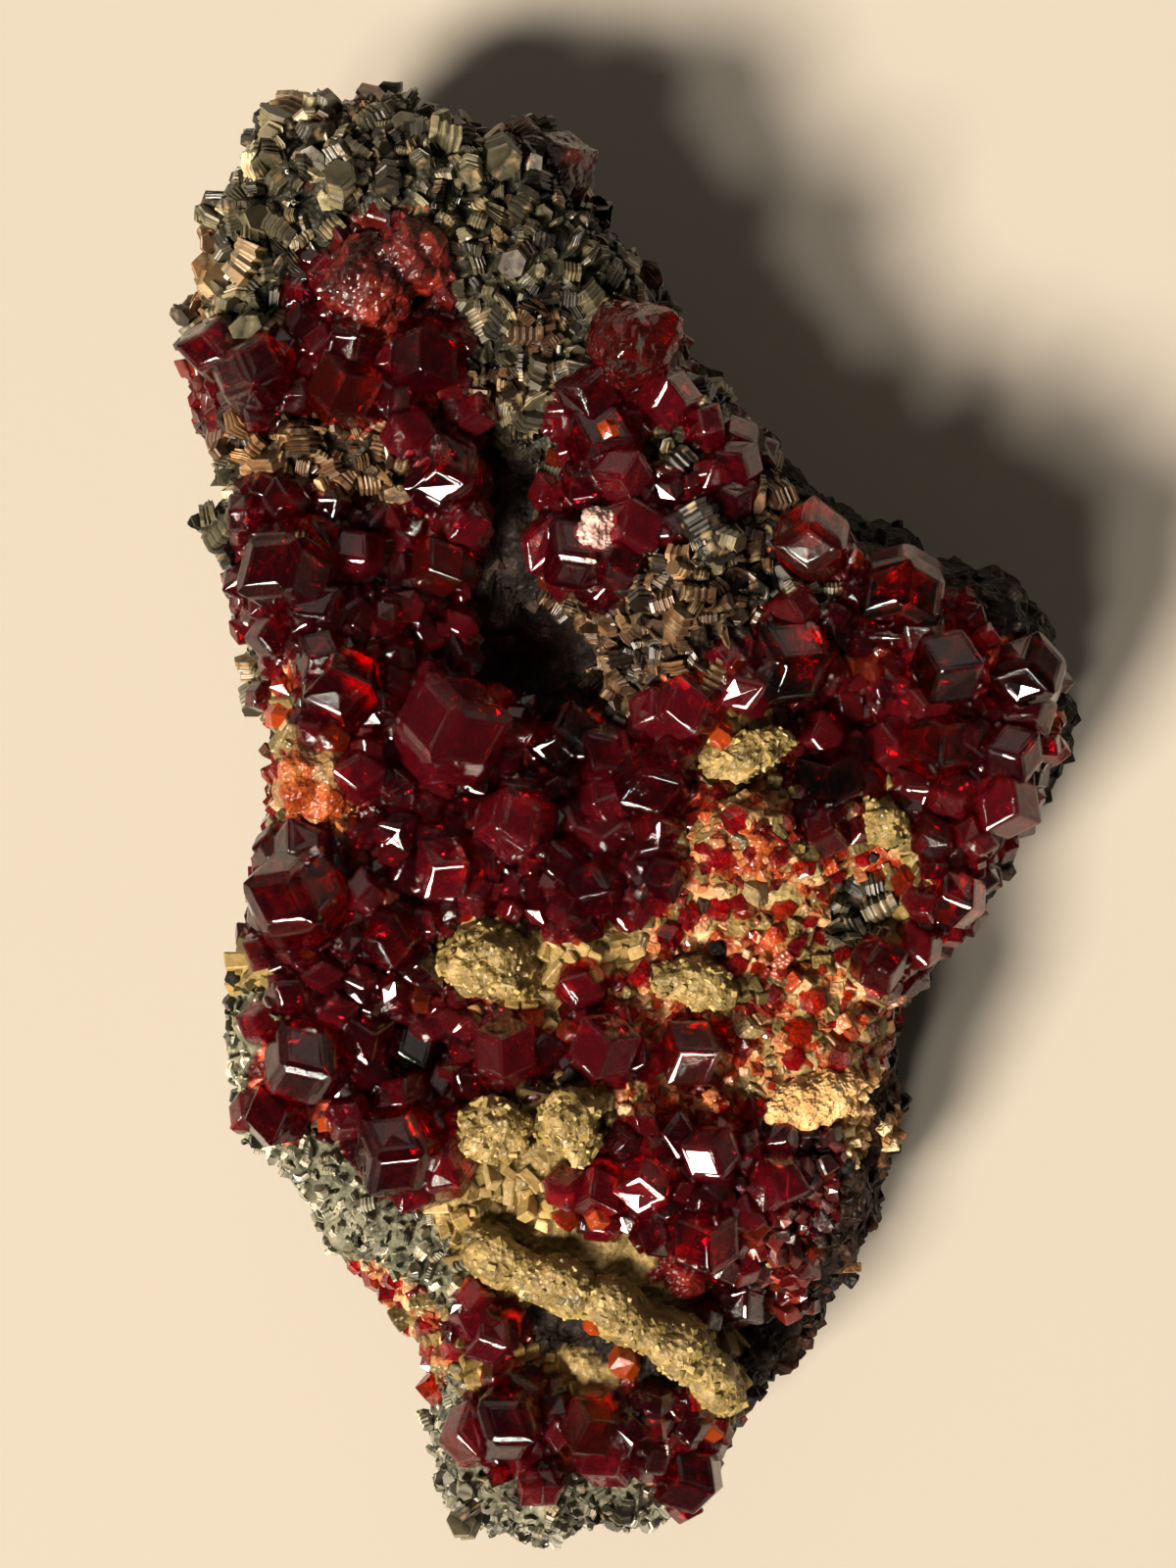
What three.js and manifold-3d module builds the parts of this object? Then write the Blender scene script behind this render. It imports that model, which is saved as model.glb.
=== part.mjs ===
/**
 * Garnet in matrix: a hand specimen of wine-red garnet crystals grown on a rock of green
 * chlorite books, with sugary olive diopside and orange massive garnet between them.
 *
 * The specimen lies on its broken back with the crystals upward. Millimetres, +Z up. The
 * origin is the middle of the flat sole, +Y runs to the tall chlorite end and +X to the
 * dark broken wing. The rock grew as one piece, so it is one solid; every large crystal
 * is a solid of its own that sits in an open socket of the rock.
 */
import * as THREE from "three";
import { ConvexGeometry } from "three/addons/geometries/ConvexGeometry.js";
import { mergeVertices } from "three/addons/utils/BufferGeometryUtils.js";
import Module from "manifold-3d";

const wasm = await Module();
wasm.setup();

// ---------------------------------------------------------------- driving dimensions

// Rim of the rock seen from above, clockwise from the top left: x, y and the height of
// the widest place of the wall there. The right side is low, with a long dark flank.
const RIM = [
  [-29.6, 59.2, 17], [-26.8, 58.6, 15], [-21.6, 59.7, 14], [-16.8, 58.2, 13],
  [-11.9, 56.0, 13], [-9.1, 58.2, 16], [-6.3, 55.2, 13], [-2.3, 50.0, 10],
  [1.7, 44.0, 8], [3.7, 40.0, 7], [7.3, 36.6, 6], [11.7, 31.1, 6],
  [16.5, 27.9, 6], [22.9, 24.7, 7], [27.7, 22.5, 8], [31.5, 21.7, 8],
  [34.1, 18.3, 7], [35.4, 12.7, 7], [37.2, 9.5, 8], [35.4, 5.1, 8],
  [32.5, 1.9, 8], [31.6, -2.1, 8], [29.3, -5.3, 9], [24.5, -10.5, 10],
  [20.1, -16.6, 10], [20.5, -19.0, 9], [22.0, -24.2, 7], [21.3, -29.0, 6],
  [19.3, -33.8, 6], [16.5, -39.4, 6], [14.1, -43.8, 6], [8.9, -48.2, 8],
  [6.5, -52.2, 10], [2.9, -55.4, 11], [0.1, -58.5, 10], [-4.3, -57.7, 9],
  [-8.7, -59.9, 9], [-12.3, -59.4, 10], [-13.9, -57.0, 11], [-17.2, -55.4, 12],
  [-17.8, -52.2, 13], [-16.8, -47.4, 13], [-18.0, -42.6, 13], [-20.8, -39.8, 13],
  [-24.4, -36.2, 13], [-26.8, -32.2, 14], [-29.6, -28.2, 14], [-33.2, -24.2, 15],
  [-34.4, -19.0, 15], [-33.8, -12.9, 16], [-32.4, -7.7, 17], [-31.7, -1.7, 17],
  [-30.6, 3.1, 17], [-30.9, 9.5, 17], [-32.4, 15.9, 17], [-33.6, 20.3, 18],
  [-34.6, 23.5, 18], [-34.0, 26.5, 17], [-34.8, 30.7, 16], [-37.0, 37.6, 15],
  [-37.2, 39.6, 15], [-36.4, 43.2, 14], [-36.0, 49.6, 14], [-32.8, 54.4, 15],
];

const WALL_CENTER = new THREE.Vector2(-6, -2); // the walls draw in toward this axis
const WALL_RINGS = [
  // share of the rim height, share of the rim's reach from the axis
  { rise: 0, reach: 0.84 },
  { rise: 0.12, reach: 0.91 },
  { rise: 0.5, reach: 0.97 },
  { rise: 1, reach: 1 },
];
const WALL_WOBBLE = 0.022; // how far the broken wall wanders, as a share of its reach
const WALL_TOP = 45; // the wall solid ends above everything

const FRONT_LEVEL = 24; // height of the crystal face where nothing rises or sinks
const LIP = 1.1; // the crystal face meets the wall this far above the widest place
const FLANK_RUN = 0.34; // width of the flank for each millimetre that it drops
const FLANK_MIN = 2.2; // narrowest flank
const FRONT_STEP = 2.8; // spacing of the points that carry the crystal face

// Knolls (rise above 0) and hollows (below 0) of the crystal face.
const LANDFORMS = [
  { x: -24, y: 51, reach: 12, rise: 3.2 }, // chlorite lobe
  { x: -9, y: 50, reach: 8, rise: 3 }, // ridge up to the horn
  { x: -28, y: 45, reach: 4, rise: -3.2 }, // black recess in the lobe
  { x: -31, y: 34, reach: 6, rise: 0.8 },
  { x: -1, y: 38, reach: 6, rise: 1.6 },
  { x: -11.5, y: 30, reach: 5, rise: -4.5 }, // neck hollow
  { x: -8.5, y: 14, reach: 7, rise: -9.5 }, // deepest hollow
  { x: -22.5, y: 24, reach: 3.2, rise: -4.5 }, // pit beside the left crystals
  { x: -26, y: 10, reach: 9, rise: 1.6 }, // left garnet bank
  { x: 3, y: 18, reach: 8, rise: 3.6 }, // tan chlorite plateau
  { x: 22, y: 17, reach: 10, rise: 1.8 }, // dark wing
  { x: 16.5, y: 8.5, reach: 4.5, rise: -5.5 }, // shadowed hollow of the wing
  { x: 7, y: -1, reach: 8, rise: 2.4 }, // diopside plateau
  { x: -3, y: 2, reach: 4.5, rise: -2.5 },
  { x: 15.5, y: -6.5, reach: 3.6, rise: -3.5 },
  { x: -27, y: -10, reach: 8, rise: 1.2 },
  { x: -17.5, y: -18, reach: 4, rise: -4 }, // shaded pocket
  { x: -5, y: -22, reach: 9, rise: 2.2 }, // lower knoll
  { x: 3, y: -30, reach: 6, rise: 1.8 },
  { x: 9.5, y: -40.5, reach: 4.6, rise: -7.5 }, // black cavity under the ridge
  { x: -8, y: -41, reach: 3, rise: -3 }, // groove below the ridge
  { x: -9, y: -48, reach: 7, rise: -0.5 },
];

const GAP = 0.3; // clearance between a crystal and its socket

// Garnets: x, y, distance from the middle to a main face, how far the middle stands over
// the crystal face of the rock as a share of that distance, and three turns in degrees.
// Two entries under one name are crystals that grew through each other.
const GARNETS = [
  { name: "garnet_largest", tone: "wine", grains: [[-15.9, 8.0, 4.2, 0.42, 24, -18, 12]] },
  { name: "garnet_center_bright", tone: "wine", grains: [[-10.7, 0.7, 2.85, 0.5, 38, 12, 20]] },
  { name: "garnet_center_lower", tone: "wine", grains: [[-15.9, -2.9, 2.4, 0.5, 15, 30, 50]] },
  { name: "garnet_left_stepped", tone: "wine", grains: [[-27.7, -5.2, 3.7, 0.4, 30, -10, 65]] },
  { name: "garnet_left_upper", tone: "wine", grains: [[-28.6, 21.0, 3.6, 0.42, -12, 26, 30]] },
  { name: "garnet_left_round", tone: "wine", grains: [[-24.2, 11.4, 2.75, 0.4, 8, 40, 15]] },
  { name: "garnet_hollow_dark", tone: "wine", grains: [[-6.4, 7.2, 2.8, 0.5, 20, 20, 5]] },
  { name: "garnet_top_dark", tone: "wine", grains: [[-17.7, 37.8, 2.6, 0.4, -20, 14, 40]] },
  { name: "garnet_top_ember", tone: "ember", grains: [[-24.2, 34.9, 2.6, 0.4, 33, -24, 10]] },
  { name: "garnet_top_left", tone: "wine", grains: [[-31.2, 36.1, 2.8, 0.35, 12, -16, 70]] },
  { name: "garnet_neck_upper", tone: "wine", grains: [[-16.4, 28.4, 3.0, 0.55, 26, 34, 22]] },
  { name: "garnet_neck_lower", tone: "rust", grains: [[-16.4, 21.4, 2.2, 0.5, 44, 10, 35]] },
  {
    name: "garnet_upper_mass",
    tone: "rust",
    grains: [[-22.2, 43.2, 3.3, 0.1, 18, 28, 12], [-18.4, 45.4, 2.7, 0.1, -14, 10, 55]],
  },
  { name: "garnet_shoulder", tone: "rust", grains: [[-1.2, 38.4, 3.4, 0.2, 22, -30, 25]] },
  { name: "garnet_shaded", tone: "wine", grains: [[-3.7, 31.2, 2.6, 0.4, 36, 16, 60]] },
  { name: "garnet_pale_capped", tone: "wine", grains: [[-5.5, 22.4, 2.9, 0.45, 28, 8, 42]] },
  {
    name: "garnet_slope_pair",
    tone: "wine",
    grains: [[7.3, 31.2, 1.9, 0.3, 10, 24, 18], [6.9, 29.1, 1.8, 0.3, 34, -12, 50]],
  },
  { name: "garnet_rusty", tone: "rust", grains: [[12.8, 22.9, 2.9, 0.3, 16, 32, 8]] },
  { name: "garnet_dome", tone: "rust", grains: [[19.8, 19.2, 3.2, 0.25, -24, 18, 33]] },
  { name: "garnet_black", tone: "wine", grains: [[11.3, 13.6, 3.3, 0.35, 30, 22, 58]] },
  { name: "garnet_crimson_wedge", tone: "crimson", grains: [[3.2, 10.0, 2.4, 0.35, 42, -8, 14]] },
  { name: "garnet_hollow_red", tone: "wine", grains: [[0.2, 3.8, 2.7, 0.4, 14, 36, 28]] },
  { name: "garnet_shadow_right", tone: "wine", grains: [[14.4, 4.2, 2.5, 0.4, 24, -28, 46]] },
  { name: "garnet_wing_upper", tone: "wine", grains: [[23.6, 13.4, 2.7, 0.35, 32, 14, 62]] },
  { name: "garnet_wing_lower", tone: "wine", grains: [[23.0, 6.9, 2.7, 0.35, 18, -20, 36]] },
  { name: "garnet_wing_outer", tone: "wine", grains: [[29.9, 12.6, 2.8, 0.3, 28, 26, 4]] },
  { name: "garnet_wing_red", tone: "crimson", grains: [[28.2, 2.4, 2.4, 0.3, -18, 30, 52]] },
  { name: "garnet_right_edge", tone: "crimson", grains: [[24.4, -5.2, 2.1, 0.3, 20, 12, 26]] },
  { name: "garnet_lower_crimson", tone: "crimson", grains: [[-3.8, -16.8, 2.5, 0.4, 34, -22, 16]] },
  { name: "garnet_lower_pink", tone: "rust", grains: [[3.6, -17.5, 2.5, 0.3, 12, 28, 44]] },
  {
    name: "garnet_base_pair",
    tone: "wine",
    grains: [[-27.0, -18.0, 3.2, 0.35, 26, 18, 38], [-29.6, -22.2, 2.4, 0.35, 40, -14, 12]],
  },
  { name: "garnet_base_red", tone: "wine", grains: [[-19.8, -25.2, 3.3, 0.35, 22, 24, 56]] },
  { name: "garnet_pocket_dark", tone: "wine", grains: [[-18.8, -17.6, 2.1, 0.4, 30, 8, 20]] },
  { name: "garnet_mid_crimson", tone: "crimson", grains: [[-11.2, -17.3, 2.4, 0.4, 16, -26, 48]] },
  {
    name: "garnet_low_pair",
    tone: "crimson",
    grains: [[-4.0, -28.2, 2.0, 0.45, 36, 20, 24], [-0.5, -27.6, 2.1, 0.4, 14, 32, 6]],
  },
  { name: "garnet_glinting", tone: "wine", grains: [[4.2, -32.2, 2.5, 0.4, 28, -16, 40]] },
  { name: "garnet_tail_crimson", tone: "crimson", grains: [[-12.6, -40.2, 1.9, 0.4, 20, 26, 30]] },
  { name: "garnet_tail_largest", tone: "wine", grains: [[-11.1, -46.8, 2.8, 0.4, 32, 10, 54]] },
  { name: "garnet_tail_right", tone: "rust", grains: [[-4.8, -47.5, 2.2, 0.4, 12, -30, 18]] },
  { name: "garnet_tip", tone: "wine", grains: [[3.2, -52.0, 2.4, 0.3, 26, 28, 34]] },
  { name: "garnet_horn", tone: "rust", grains: [[-7.2, 53.4, 2.5, 0.1, 38, -12, 22]] },
];

const EDGE_BEVEL = 1.075; // distance of a bevel face over that of a main face
const BEVEL_FROM = 2.8; // crystals at least this size get the bevel faces

// Blunt lumps: massive or sugary minerals without crystal faces of their own. Each knob
// is x, y, three half sizes, the rise of its middle over the rock, and its turn about Z.
const LUMPS = [
  { name: "diopside_block", tone: "olive", knobs: [[-12.6, -10.2, 4.1, 2.7, 2.6, 0.6, -8]] },
  { name: "diopside_knob_left", tone: "olive", knobs: [[-12.4, -23.4, 2.7, 2.4, 2.4, 0.6, 10]] },
  { name: "diopside_knob_right", tone: "olive", knobs: [[-6.2, -22.8, 2.8, 2.7, 2.6, 0.9, 30]] },
  { name: "diopside_ledge", tone: "olive", knobs: [[7.6, 6.3, 3.8, 1.7, 2.0, 0.4, 12]] },
  { name: "diopside_plateau", tone: "straw", knobs: [[7.6, -1.0, 4.3, 3.5, 2.6, 0.3, -20]] },
  {
    name: "diopside_ridge",
    tone: "olive",
    knobs: [
      [-12.2, -33.2, 3.6, 2.3, 2.4, 1.0, -30],
      [-7.6, -35.6, 3.8, 2.4, 2.6, 1.2, -24],
      [-2.4, -37.8, 3.8, 2.2, 2.6, 1.3, -20],
      [2.2, -40.4, 3.6, 2.1, 2.6, 1.8, -40],
      [5.6, -44.0, 3.4, 2.1, 2.6, 2.0, -50],
    ],
  },
  { name: "diopside_lower", tone: "olive", knobs: [[3.4, -11.8, 3.9, 1.7, 2.0, 0.5, -14]] },
  { name: "diopside_right", tone: "olive", knobs: [[18.9, 0.9, 2.1, 1.6, 2.0, 0.5, -40]] },
  { name: "orange_mass", tone: "orange", knobs: [[-26.4, 4.0, 3.1, 3.0, 2.2, 0.3, 15]] },
  { name: "cream_crust", tone: "cream", knobs: [[12.9, -21.3, 4.2, 2.0, 1.6, 0.5, 18]] },
];
const LUMP_RINGS = [
  // height share, radius share and number of corners of each ring of a lump
  { height: -1, radius: 0.5, corners: 5 },
  { height: -0.35, radius: 1.04, corners: 7 },
  { height: 0.45, radius: 1.02, corners: 7 },
  { height: 1, radius: 0.6, corners: 5 },
];
const LUMP_JITTER = 0.1; // random share of each corner's distance

// Chlorite books big enough to be pieces of their own: a short six-sided stack. x, y, z,
// radius, thickness, and turns about X, Y and Z in degrees.
const BOOKS = [
  { name: "chlorite_tip", at: [-34.7, 24.4, 20.5], radius: 1.5, thick: 3.2, turn: [0, 62, 35] },
  { name: "chlorite_knob", at: [-28.6, 58.1, 18.5], radius: 1.5, thick: 3.0, turn: [70, 20, 0] },
  { name: "chlorite_book_lobe", at: [-23.6, 50.4, 27.4], radius: 1.5, thick: 2.6, turn: [35, 60, 20] },
  { name: "chlorite_book_pillar", at: [-13.6, 51.4, 26.8], radius: 1.5, thick: 2.6, turn: [60, 25, 40] },
  { name: "chlorite_book_plateau", at: [4.8, 22.6, 27.0], radius: 1.5, thick: 2.6, turn: [50, 40, 10] },
];
const BOOK_FLARE = 0.85; // the top leaf of a book is this much smaller

const SEED = 41;

const COLORS = {
  rock: { color: 0x5a5f50, roughness: 0.75 },
  wine: { color: 0x4a0a10, roughness: 0.12 },
  crimson: { color: 0x7a1018, roughness: 0.14 },
  ember: { color: 0x8a2412, roughness: 0.14 },
  rust: { color: 0x6e2418, roughness: 0.3 },
  olive: { color: 0x8a7a48, roughness: 0.6 },
  straw: { color: 0xb09a68, roughness: 0.65 },
  orange: { color: 0xb87840, roughness: 0.6 },
  cream: { color: 0xd0ac78, roughness: 0.8 },
  chlorite: { color: 0x7d7f68, roughness: 0.5 },
};

// ------------------------------------------------------------------------- helpers

/** Returns a repeatable random source of numbers from 0 to 1. */
function seededRandom(seed) {
  let state = seed;
  return () => {
    state = (state * 1664525 + 1013904223) % 4294967296;
    return state / 4294967296;
  };
}

/** Turns a closed three.js geometry into a solid that can be joined and cut. */
function toSolid(geometry) {
  const bare = geometry.clone();
  bare.deleteAttribute("normal");
  bare.deleteAttribute("uv");
  const merged = mergeVertices(bare, 1e-4);
  return new wasm.Manifold(new wasm.Mesh({
    numProp: 3,
    vertProperties: new Float32Array(merged.attributes.position.array),
    triVerts: new Uint32Array(merged.index.array),
  }));
}

/** Turns a joined or cut solid back into a three.js geometry. */
function toGeometry(solid) {
  const mesh = solid.getMesh();
  const geometry = new THREE.BufferGeometry();
  geometry.setAttribute("position", new THREE.BufferAttribute(mesh.vertProperties, 3));
  geometry.setIndex(new THREE.BufferAttribute(mesh.triVerts, 1));
  geometry.computeVertexNormals();
  return geometry;
}

/** Joins a list of solids into one. */
function joinAll(solids) {
  return solids.reduce((sum, solid) => sum.add(solid));
}

/** The matrix that turns about X, Y and Z in degrees and then moves to a place. */
function placeAt(x, y, z, turnX, turnY, turnZ) {
  const turns = [turnX, turnY, turnZ].map(THREE.MathUtils.degToRad);
  return new THREE.Matrix4()
    .makeRotationFromEuler(new THREE.Euler(...turns, "ZYX"))
    .setPosition(x, y, z);
}

// ------------------------------------------------------------------ shape of the rock

/** Distance from a place to the rim, and the height of the rim beside it. */
function nearestRim(x, y) {
  let best = { distance: Infinity, level: 0 };
  RIM.forEach(([x0, y0, z0], index) => {
    const [x1, y1, z1] = RIM[(index + 1) % RIM.length];
    const along = ((x - x0) * (x1 - x0) + (y - y0) * (y1 - y0)) / ((x1 - x0) ** 2 + (y1 - y0) ** 2);
    const share = THREE.MathUtils.clamp(along, 0, 1);
    const distance = Math.hypot(x - x0 - share * (x1 - x0), y - y0 - share * (y1 - y0));
    if (distance < best.distance) {
      best = { distance, level: z0 + share * (z1 - z0) };
    }
  });
  return best;
}

/** True where a place lies inside the rim. */
function insideRim(x, y) {
  let inside = false;
  RIM.forEach(([x0, y0], index) => {
    const [x1, y1] = RIM[(index + 1) % RIM.length];
    if (y0 > y !== y1 > y && x < x0 + ((y - y0) / (y1 - y0)) * (x1 - x0)) {
      inside = !inside;
    }
  });
  return inside;
}

/** Height of the crystal face of the rock over the sole. */
function frontHeight(x, y) {
  let open = FRONT_LEVEL;
  for (const form of LANDFORMS) {
    const away = Math.hypot(x - form.x, y - form.y) / form.reach;
    open += form.rise * Math.exp(-away * away);
  }
  const rim = nearestRim(x, y);
  const foot = rim.level + LIP;
  const run = Math.max(FLANK_MIN, (open - foot) * FLANK_RUN);
  const distance = insideRim(x, y) ? rim.distance : 0;
  const share = Math.min(distance / run, 1);
  return foot + (open - foot) * Math.sin((share * Math.PI) / 2) ** 0.8;
}

/** The broken walls: rings of the rim, drawn in toward the sole. */
function wallSolid() {
  const ringCount = WALL_RINGS.length;
  const points = [];
  RIM.forEach(([x, y, level]) => {
    const arm = new THREE.Vector2(x, y).sub(WALL_CENTER);
    const heading = arm.angle();
    const wander = WALL_WOBBLE * (Math.sin(5 * heading) + Math.sin(13 * heading + 2));
    WALL_RINGS.forEach(({ rise, reach }) => {
      const drawn = reach + (rise < 1 ? wander * (1 - rise) : 0);
      const spot = WALL_CENTER.clone().addScaledVector(arm, drawn);
      points.push(spot.x, spot.y, rise * level);
    });
    points.push(x, y, WALL_TOP);
  });
  const rows = ringCount + 1;
  const faces = [];
  RIM.forEach((corner, index) => {
    const here = index * rows;
    const next = ((index + 1) % RIM.length) * rows;
    for (let row = 0; row < ringCount; row += 1) {
      faces.push(here + row, here + row + 1, next + row);
      faces.push(next + row, here + row + 1, next + row + 1);
    }
  });
  const outline = RIM.map((corner, index) => (
    new THREE.Vector2(points[index * rows * 3], points[index * rows * 3 + 1])
  ));
  THREE.ShapeUtils.triangulateShape(outline, []).forEach(([a, b, c]) => {
    faces.push(a * rows, c * rows, b * rows);
  });
  const crown = RIM.map(([x, y]) => new THREE.Vector2(x, y));
  THREE.ShapeUtils.triangulateShape(crown, []).forEach(([a, b, c]) => {
    faces.push(a * rows + ringCount, b * rows + ringCount, c * rows + ringCount);
  });
  return closedSolid(points, faces);
}

/** A block whose top is the crystal face, a little larger than the rim all round. */
function frontSolid() {
  const margin = 3;
  const box = new THREE.Box2().setFromPoints(RIM.map(([x, y]) => new THREE.Vector2(x, y)));
  const columns = Math.ceil((box.max.x - box.min.x + 2 * margin) / FRONT_STEP);
  const lines = Math.ceil((box.max.y - box.min.y + 2 * margin) / FRONT_STEP);
  const points = [];
  for (let line = 0; line <= lines; line += 1) {
    for (let column = 0; column <= columns; column += 1) {
      const x = box.min.x - margin + column * FRONT_STEP;
      const y = box.min.y - margin + line * FRONT_STEP;
      points.push(x, y, frontHeight(x, y));
    }
  }
  const width = columns + 1;
  const faces = [];
  for (let line = 0; line < lines; line += 1) {
    for (let column = 0; column < columns; column += 1) {
      const corner = line * width + column;
      const diagonals = (line + column) % 2 === 0
        ? [corner, corner + 1, corner + width + 1, corner, corner + width + 1, corner + width]
        : [corner, corner + 1, corner + width, corner + 1, corner + width + 1, corner + width];
      faces.push(...diagonals);
    }
  }
  const border = [];
  for (let column = 0; column < columns; column += 1) {
    border.push(column);
  }
  for (let line = 0; line < lines; line += 1) {
    border.push(line * width + columns);
  }
  for (let column = columns; column > 0; column -= 1) {
    border.push(lines * width + column);
  }
  for (let line = lines; line > 0; line -= 1) {
    border.push(line * width);
  }
  const under = points.length / 3;
  const depth = -5;
  points.push((box.min.x + box.max.x) / 2, (box.min.y + box.max.y) / 2, depth);
  const skirt = under + 1;
  border.forEach((vertex) => {
    points.push(points[vertex * 3], points[vertex * 3 + 1], depth);
  });
  border.forEach((vertex, index) => {
    const next = (index + 1) % border.length;
    faces.push(vertex, skirt + index, border[next]);
    faces.push(border[next], skirt + index, skirt + next);
    faces.push(under, skirt + next, skirt + index);
  });
  return closedSolid(points, faces);
}

/** A solid from a flat list of coordinates and a flat list of triangle corners. */
function closedSolid(points, faces) {
  return new wasm.Manifold(new wasm.Mesh({
    numProp: 3,
    vertProperties: new Float32Array(points),
    triVerts: new Uint32Array(faces),
  }));
}

// ---------------------------------------------------------------------- the crystals

/** The twelve-faced garnet form: its main faces are the given distance from its middle. */
function dodecahedron(distance) {
  const reach = distance * Math.SQRT2;
  const half = reach / 2;
  const corners = [];
  for (const sign of [-1, 1]) {
    corners.push(new THREE.Vector3(sign * reach, 0, 0));
    corners.push(new THREE.Vector3(0, sign * reach, 0));
    corners.push(new THREE.Vector3(0, 0, sign * reach));
    for (const signY of [-1, 1]) {
      for (const signZ of [-1, 1]) {
        corners.push(new THREE.Vector3(sign * half, signY * half, signZ * half));
      }
    }
  }
  return toSolid(new ConvexGeometry(corners));
}

/** The twenty-four-faced garnet form that bevels the edges of the first one. */
function trapezohedron(distance) {
  const plane = distance * Math.sqrt(6);
  const signs = [-1, 0, 1];
  const corners = [];
  for (const x of signs) {
    for (const y of signs) {
      for (const z of signs) {
        const axes = Math.abs(x) + Math.abs(y) + Math.abs(z);
        if (axes > 0) {
          corners.push(new THREE.Vector3(x, y, z).multiplyScalar(plane / (axes + 1)));
        }
      }
    }
  }
  return toSolid(new ConvexGeometry(corners));
}

/** One garnet, grown by a clearance, at its place on the rock. */
function garnetGrain([x, y, distance, lift, turnX, turnY, turnZ], clearance) {
  const grown = distance + clearance;
  let grain = dodecahedron(grown);
  if (distance >= BEVEL_FROM && clearance === 0) {
    grain = grain.intersect(trapezohedron(grown * EDGE_BEVEL));
  }
  const z = frontHeight(x, y) + lift * distance;
  return grain.transform(placeAt(x, y, z, turnX, turnY, turnZ).elements);
}

/** One blunt lump, grown by a clearance, at its place on the rock. */
function lumpKnob([x, y, sizeX, sizeY, sizeZ, lift, turnZ], clearance) {
  const random = seededRandom(SEED + Math.round(10 * (x + 2 * y)));
  const corners = [];
  LUMP_RINGS.forEach(({ height, radius, corners: count }, ring) => {
    for (let index = 0; index < count; index += 1) {
      const heading = ((index + ring / 2) / count) * 2 * Math.PI;
      const wander = 1 + LUMP_JITTER * (2 * random() - 1);
      corners.push(new THREE.Vector3(
        Math.cos(heading) * radius * wander * (sizeX + clearance),
        Math.sin(heading) * radius * wander * (sizeY + clearance),
        height * wander * (sizeZ + clearance),
      ));
    }
  });
  const knob = toSolid(new ConvexGeometry(corners));
  return knob.transform(placeAt(x, y, frontHeight(x, y) + lift, 0, 0, turnZ).elements);
}

/** One six-sided chlorite book, grown by a clearance. */
function bookStack({ at, radius, thick, turn }, clearance) {
  const stack = new THREE.CylinderGeometry(
    radius * BOOK_FLARE + clearance,
    radius + clearance,
    thick + 2 * clearance,
    6,
  );
  return toSolid(stack).transform(placeAt(...at, ...turn).elements);
}

// ------------------------------------------------------------------------- assembly

/** Adds one named mesh to the specimen. */
function addPiece(group, name, tone, solid) {
  const material = new THREE.MeshStandardMaterial({ ...COLORS[tone], metalness: 0 });
  const mesh = new THREE.Mesh(toGeometry(solid), material);
  mesh.name = name;
  group.add(mesh);
}

const specimen = new THREE.Group();
const sockets = [];

for (const { name, tone, grains } of GARNETS) {
  addPiece(specimen, name, tone, joinAll(grains.map((grain) => garnetGrain(grain, 0))));
  sockets.push(...grains.map((grain) => garnetGrain(grain, GAP)));
}
for (const { name, tone, knobs } of LUMPS) {
  addPiece(specimen, name, tone, joinAll(knobs.map((knob) => lumpKnob(knob, 0))));
  sockets.push(...knobs.map((knob) => lumpKnob(knob, GAP)));
}
for (const book of BOOKS) {
  addPiece(specimen, book.name, "chlorite", bookStack(book, 0));
  sockets.push(bookStack(book, GAP));
}

const rock = wallSolid().intersect(frontSolid());
addPiece(specimen, "matrix_rock", "rock", rock.subtract(joinAll(sockets)));

export default specimen;
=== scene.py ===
"""Garnet in matrix: the looks of a mineral hand specimen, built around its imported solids.

Wine-red garnet crystals stand on a rock of grey-green chlorite books, with sugary olive
diopside, peach and orange massive garnet between them. The specimen lies on its broken
back on a pale floor, and the camera looks down on the crystal face.
"""

import logging
import math
from collections.abc import Callable, Iterator, Sequence
from contextlib import contextmanager
from dataclasses import dataclass, field
from enum import Enum

import bpy
import numpy as np
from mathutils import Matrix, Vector, noise
from mathutils.bvhtree import BVHTree


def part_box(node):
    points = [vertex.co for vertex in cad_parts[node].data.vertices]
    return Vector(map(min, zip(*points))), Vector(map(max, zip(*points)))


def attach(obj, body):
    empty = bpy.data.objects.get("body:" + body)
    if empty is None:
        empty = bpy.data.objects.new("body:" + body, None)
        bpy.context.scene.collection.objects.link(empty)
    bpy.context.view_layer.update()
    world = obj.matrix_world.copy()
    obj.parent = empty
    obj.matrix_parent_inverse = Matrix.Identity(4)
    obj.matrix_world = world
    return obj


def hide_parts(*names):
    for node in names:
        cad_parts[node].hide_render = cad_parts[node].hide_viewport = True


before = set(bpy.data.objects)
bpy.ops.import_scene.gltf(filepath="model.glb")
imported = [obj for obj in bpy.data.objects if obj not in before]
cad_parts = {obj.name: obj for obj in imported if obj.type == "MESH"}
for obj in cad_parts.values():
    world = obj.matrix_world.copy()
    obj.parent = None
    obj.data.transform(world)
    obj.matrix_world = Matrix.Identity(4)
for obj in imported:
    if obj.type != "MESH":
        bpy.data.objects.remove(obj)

LOG = logging.getLogger("garnet_in_matrix")
MM = 0.001  # the model is in metres, and the sizes below are in millimetres
BODY = "root"

Color = tuple[float, float, float, float]


# ------------------------------------------------------------------------------ colours


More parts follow.
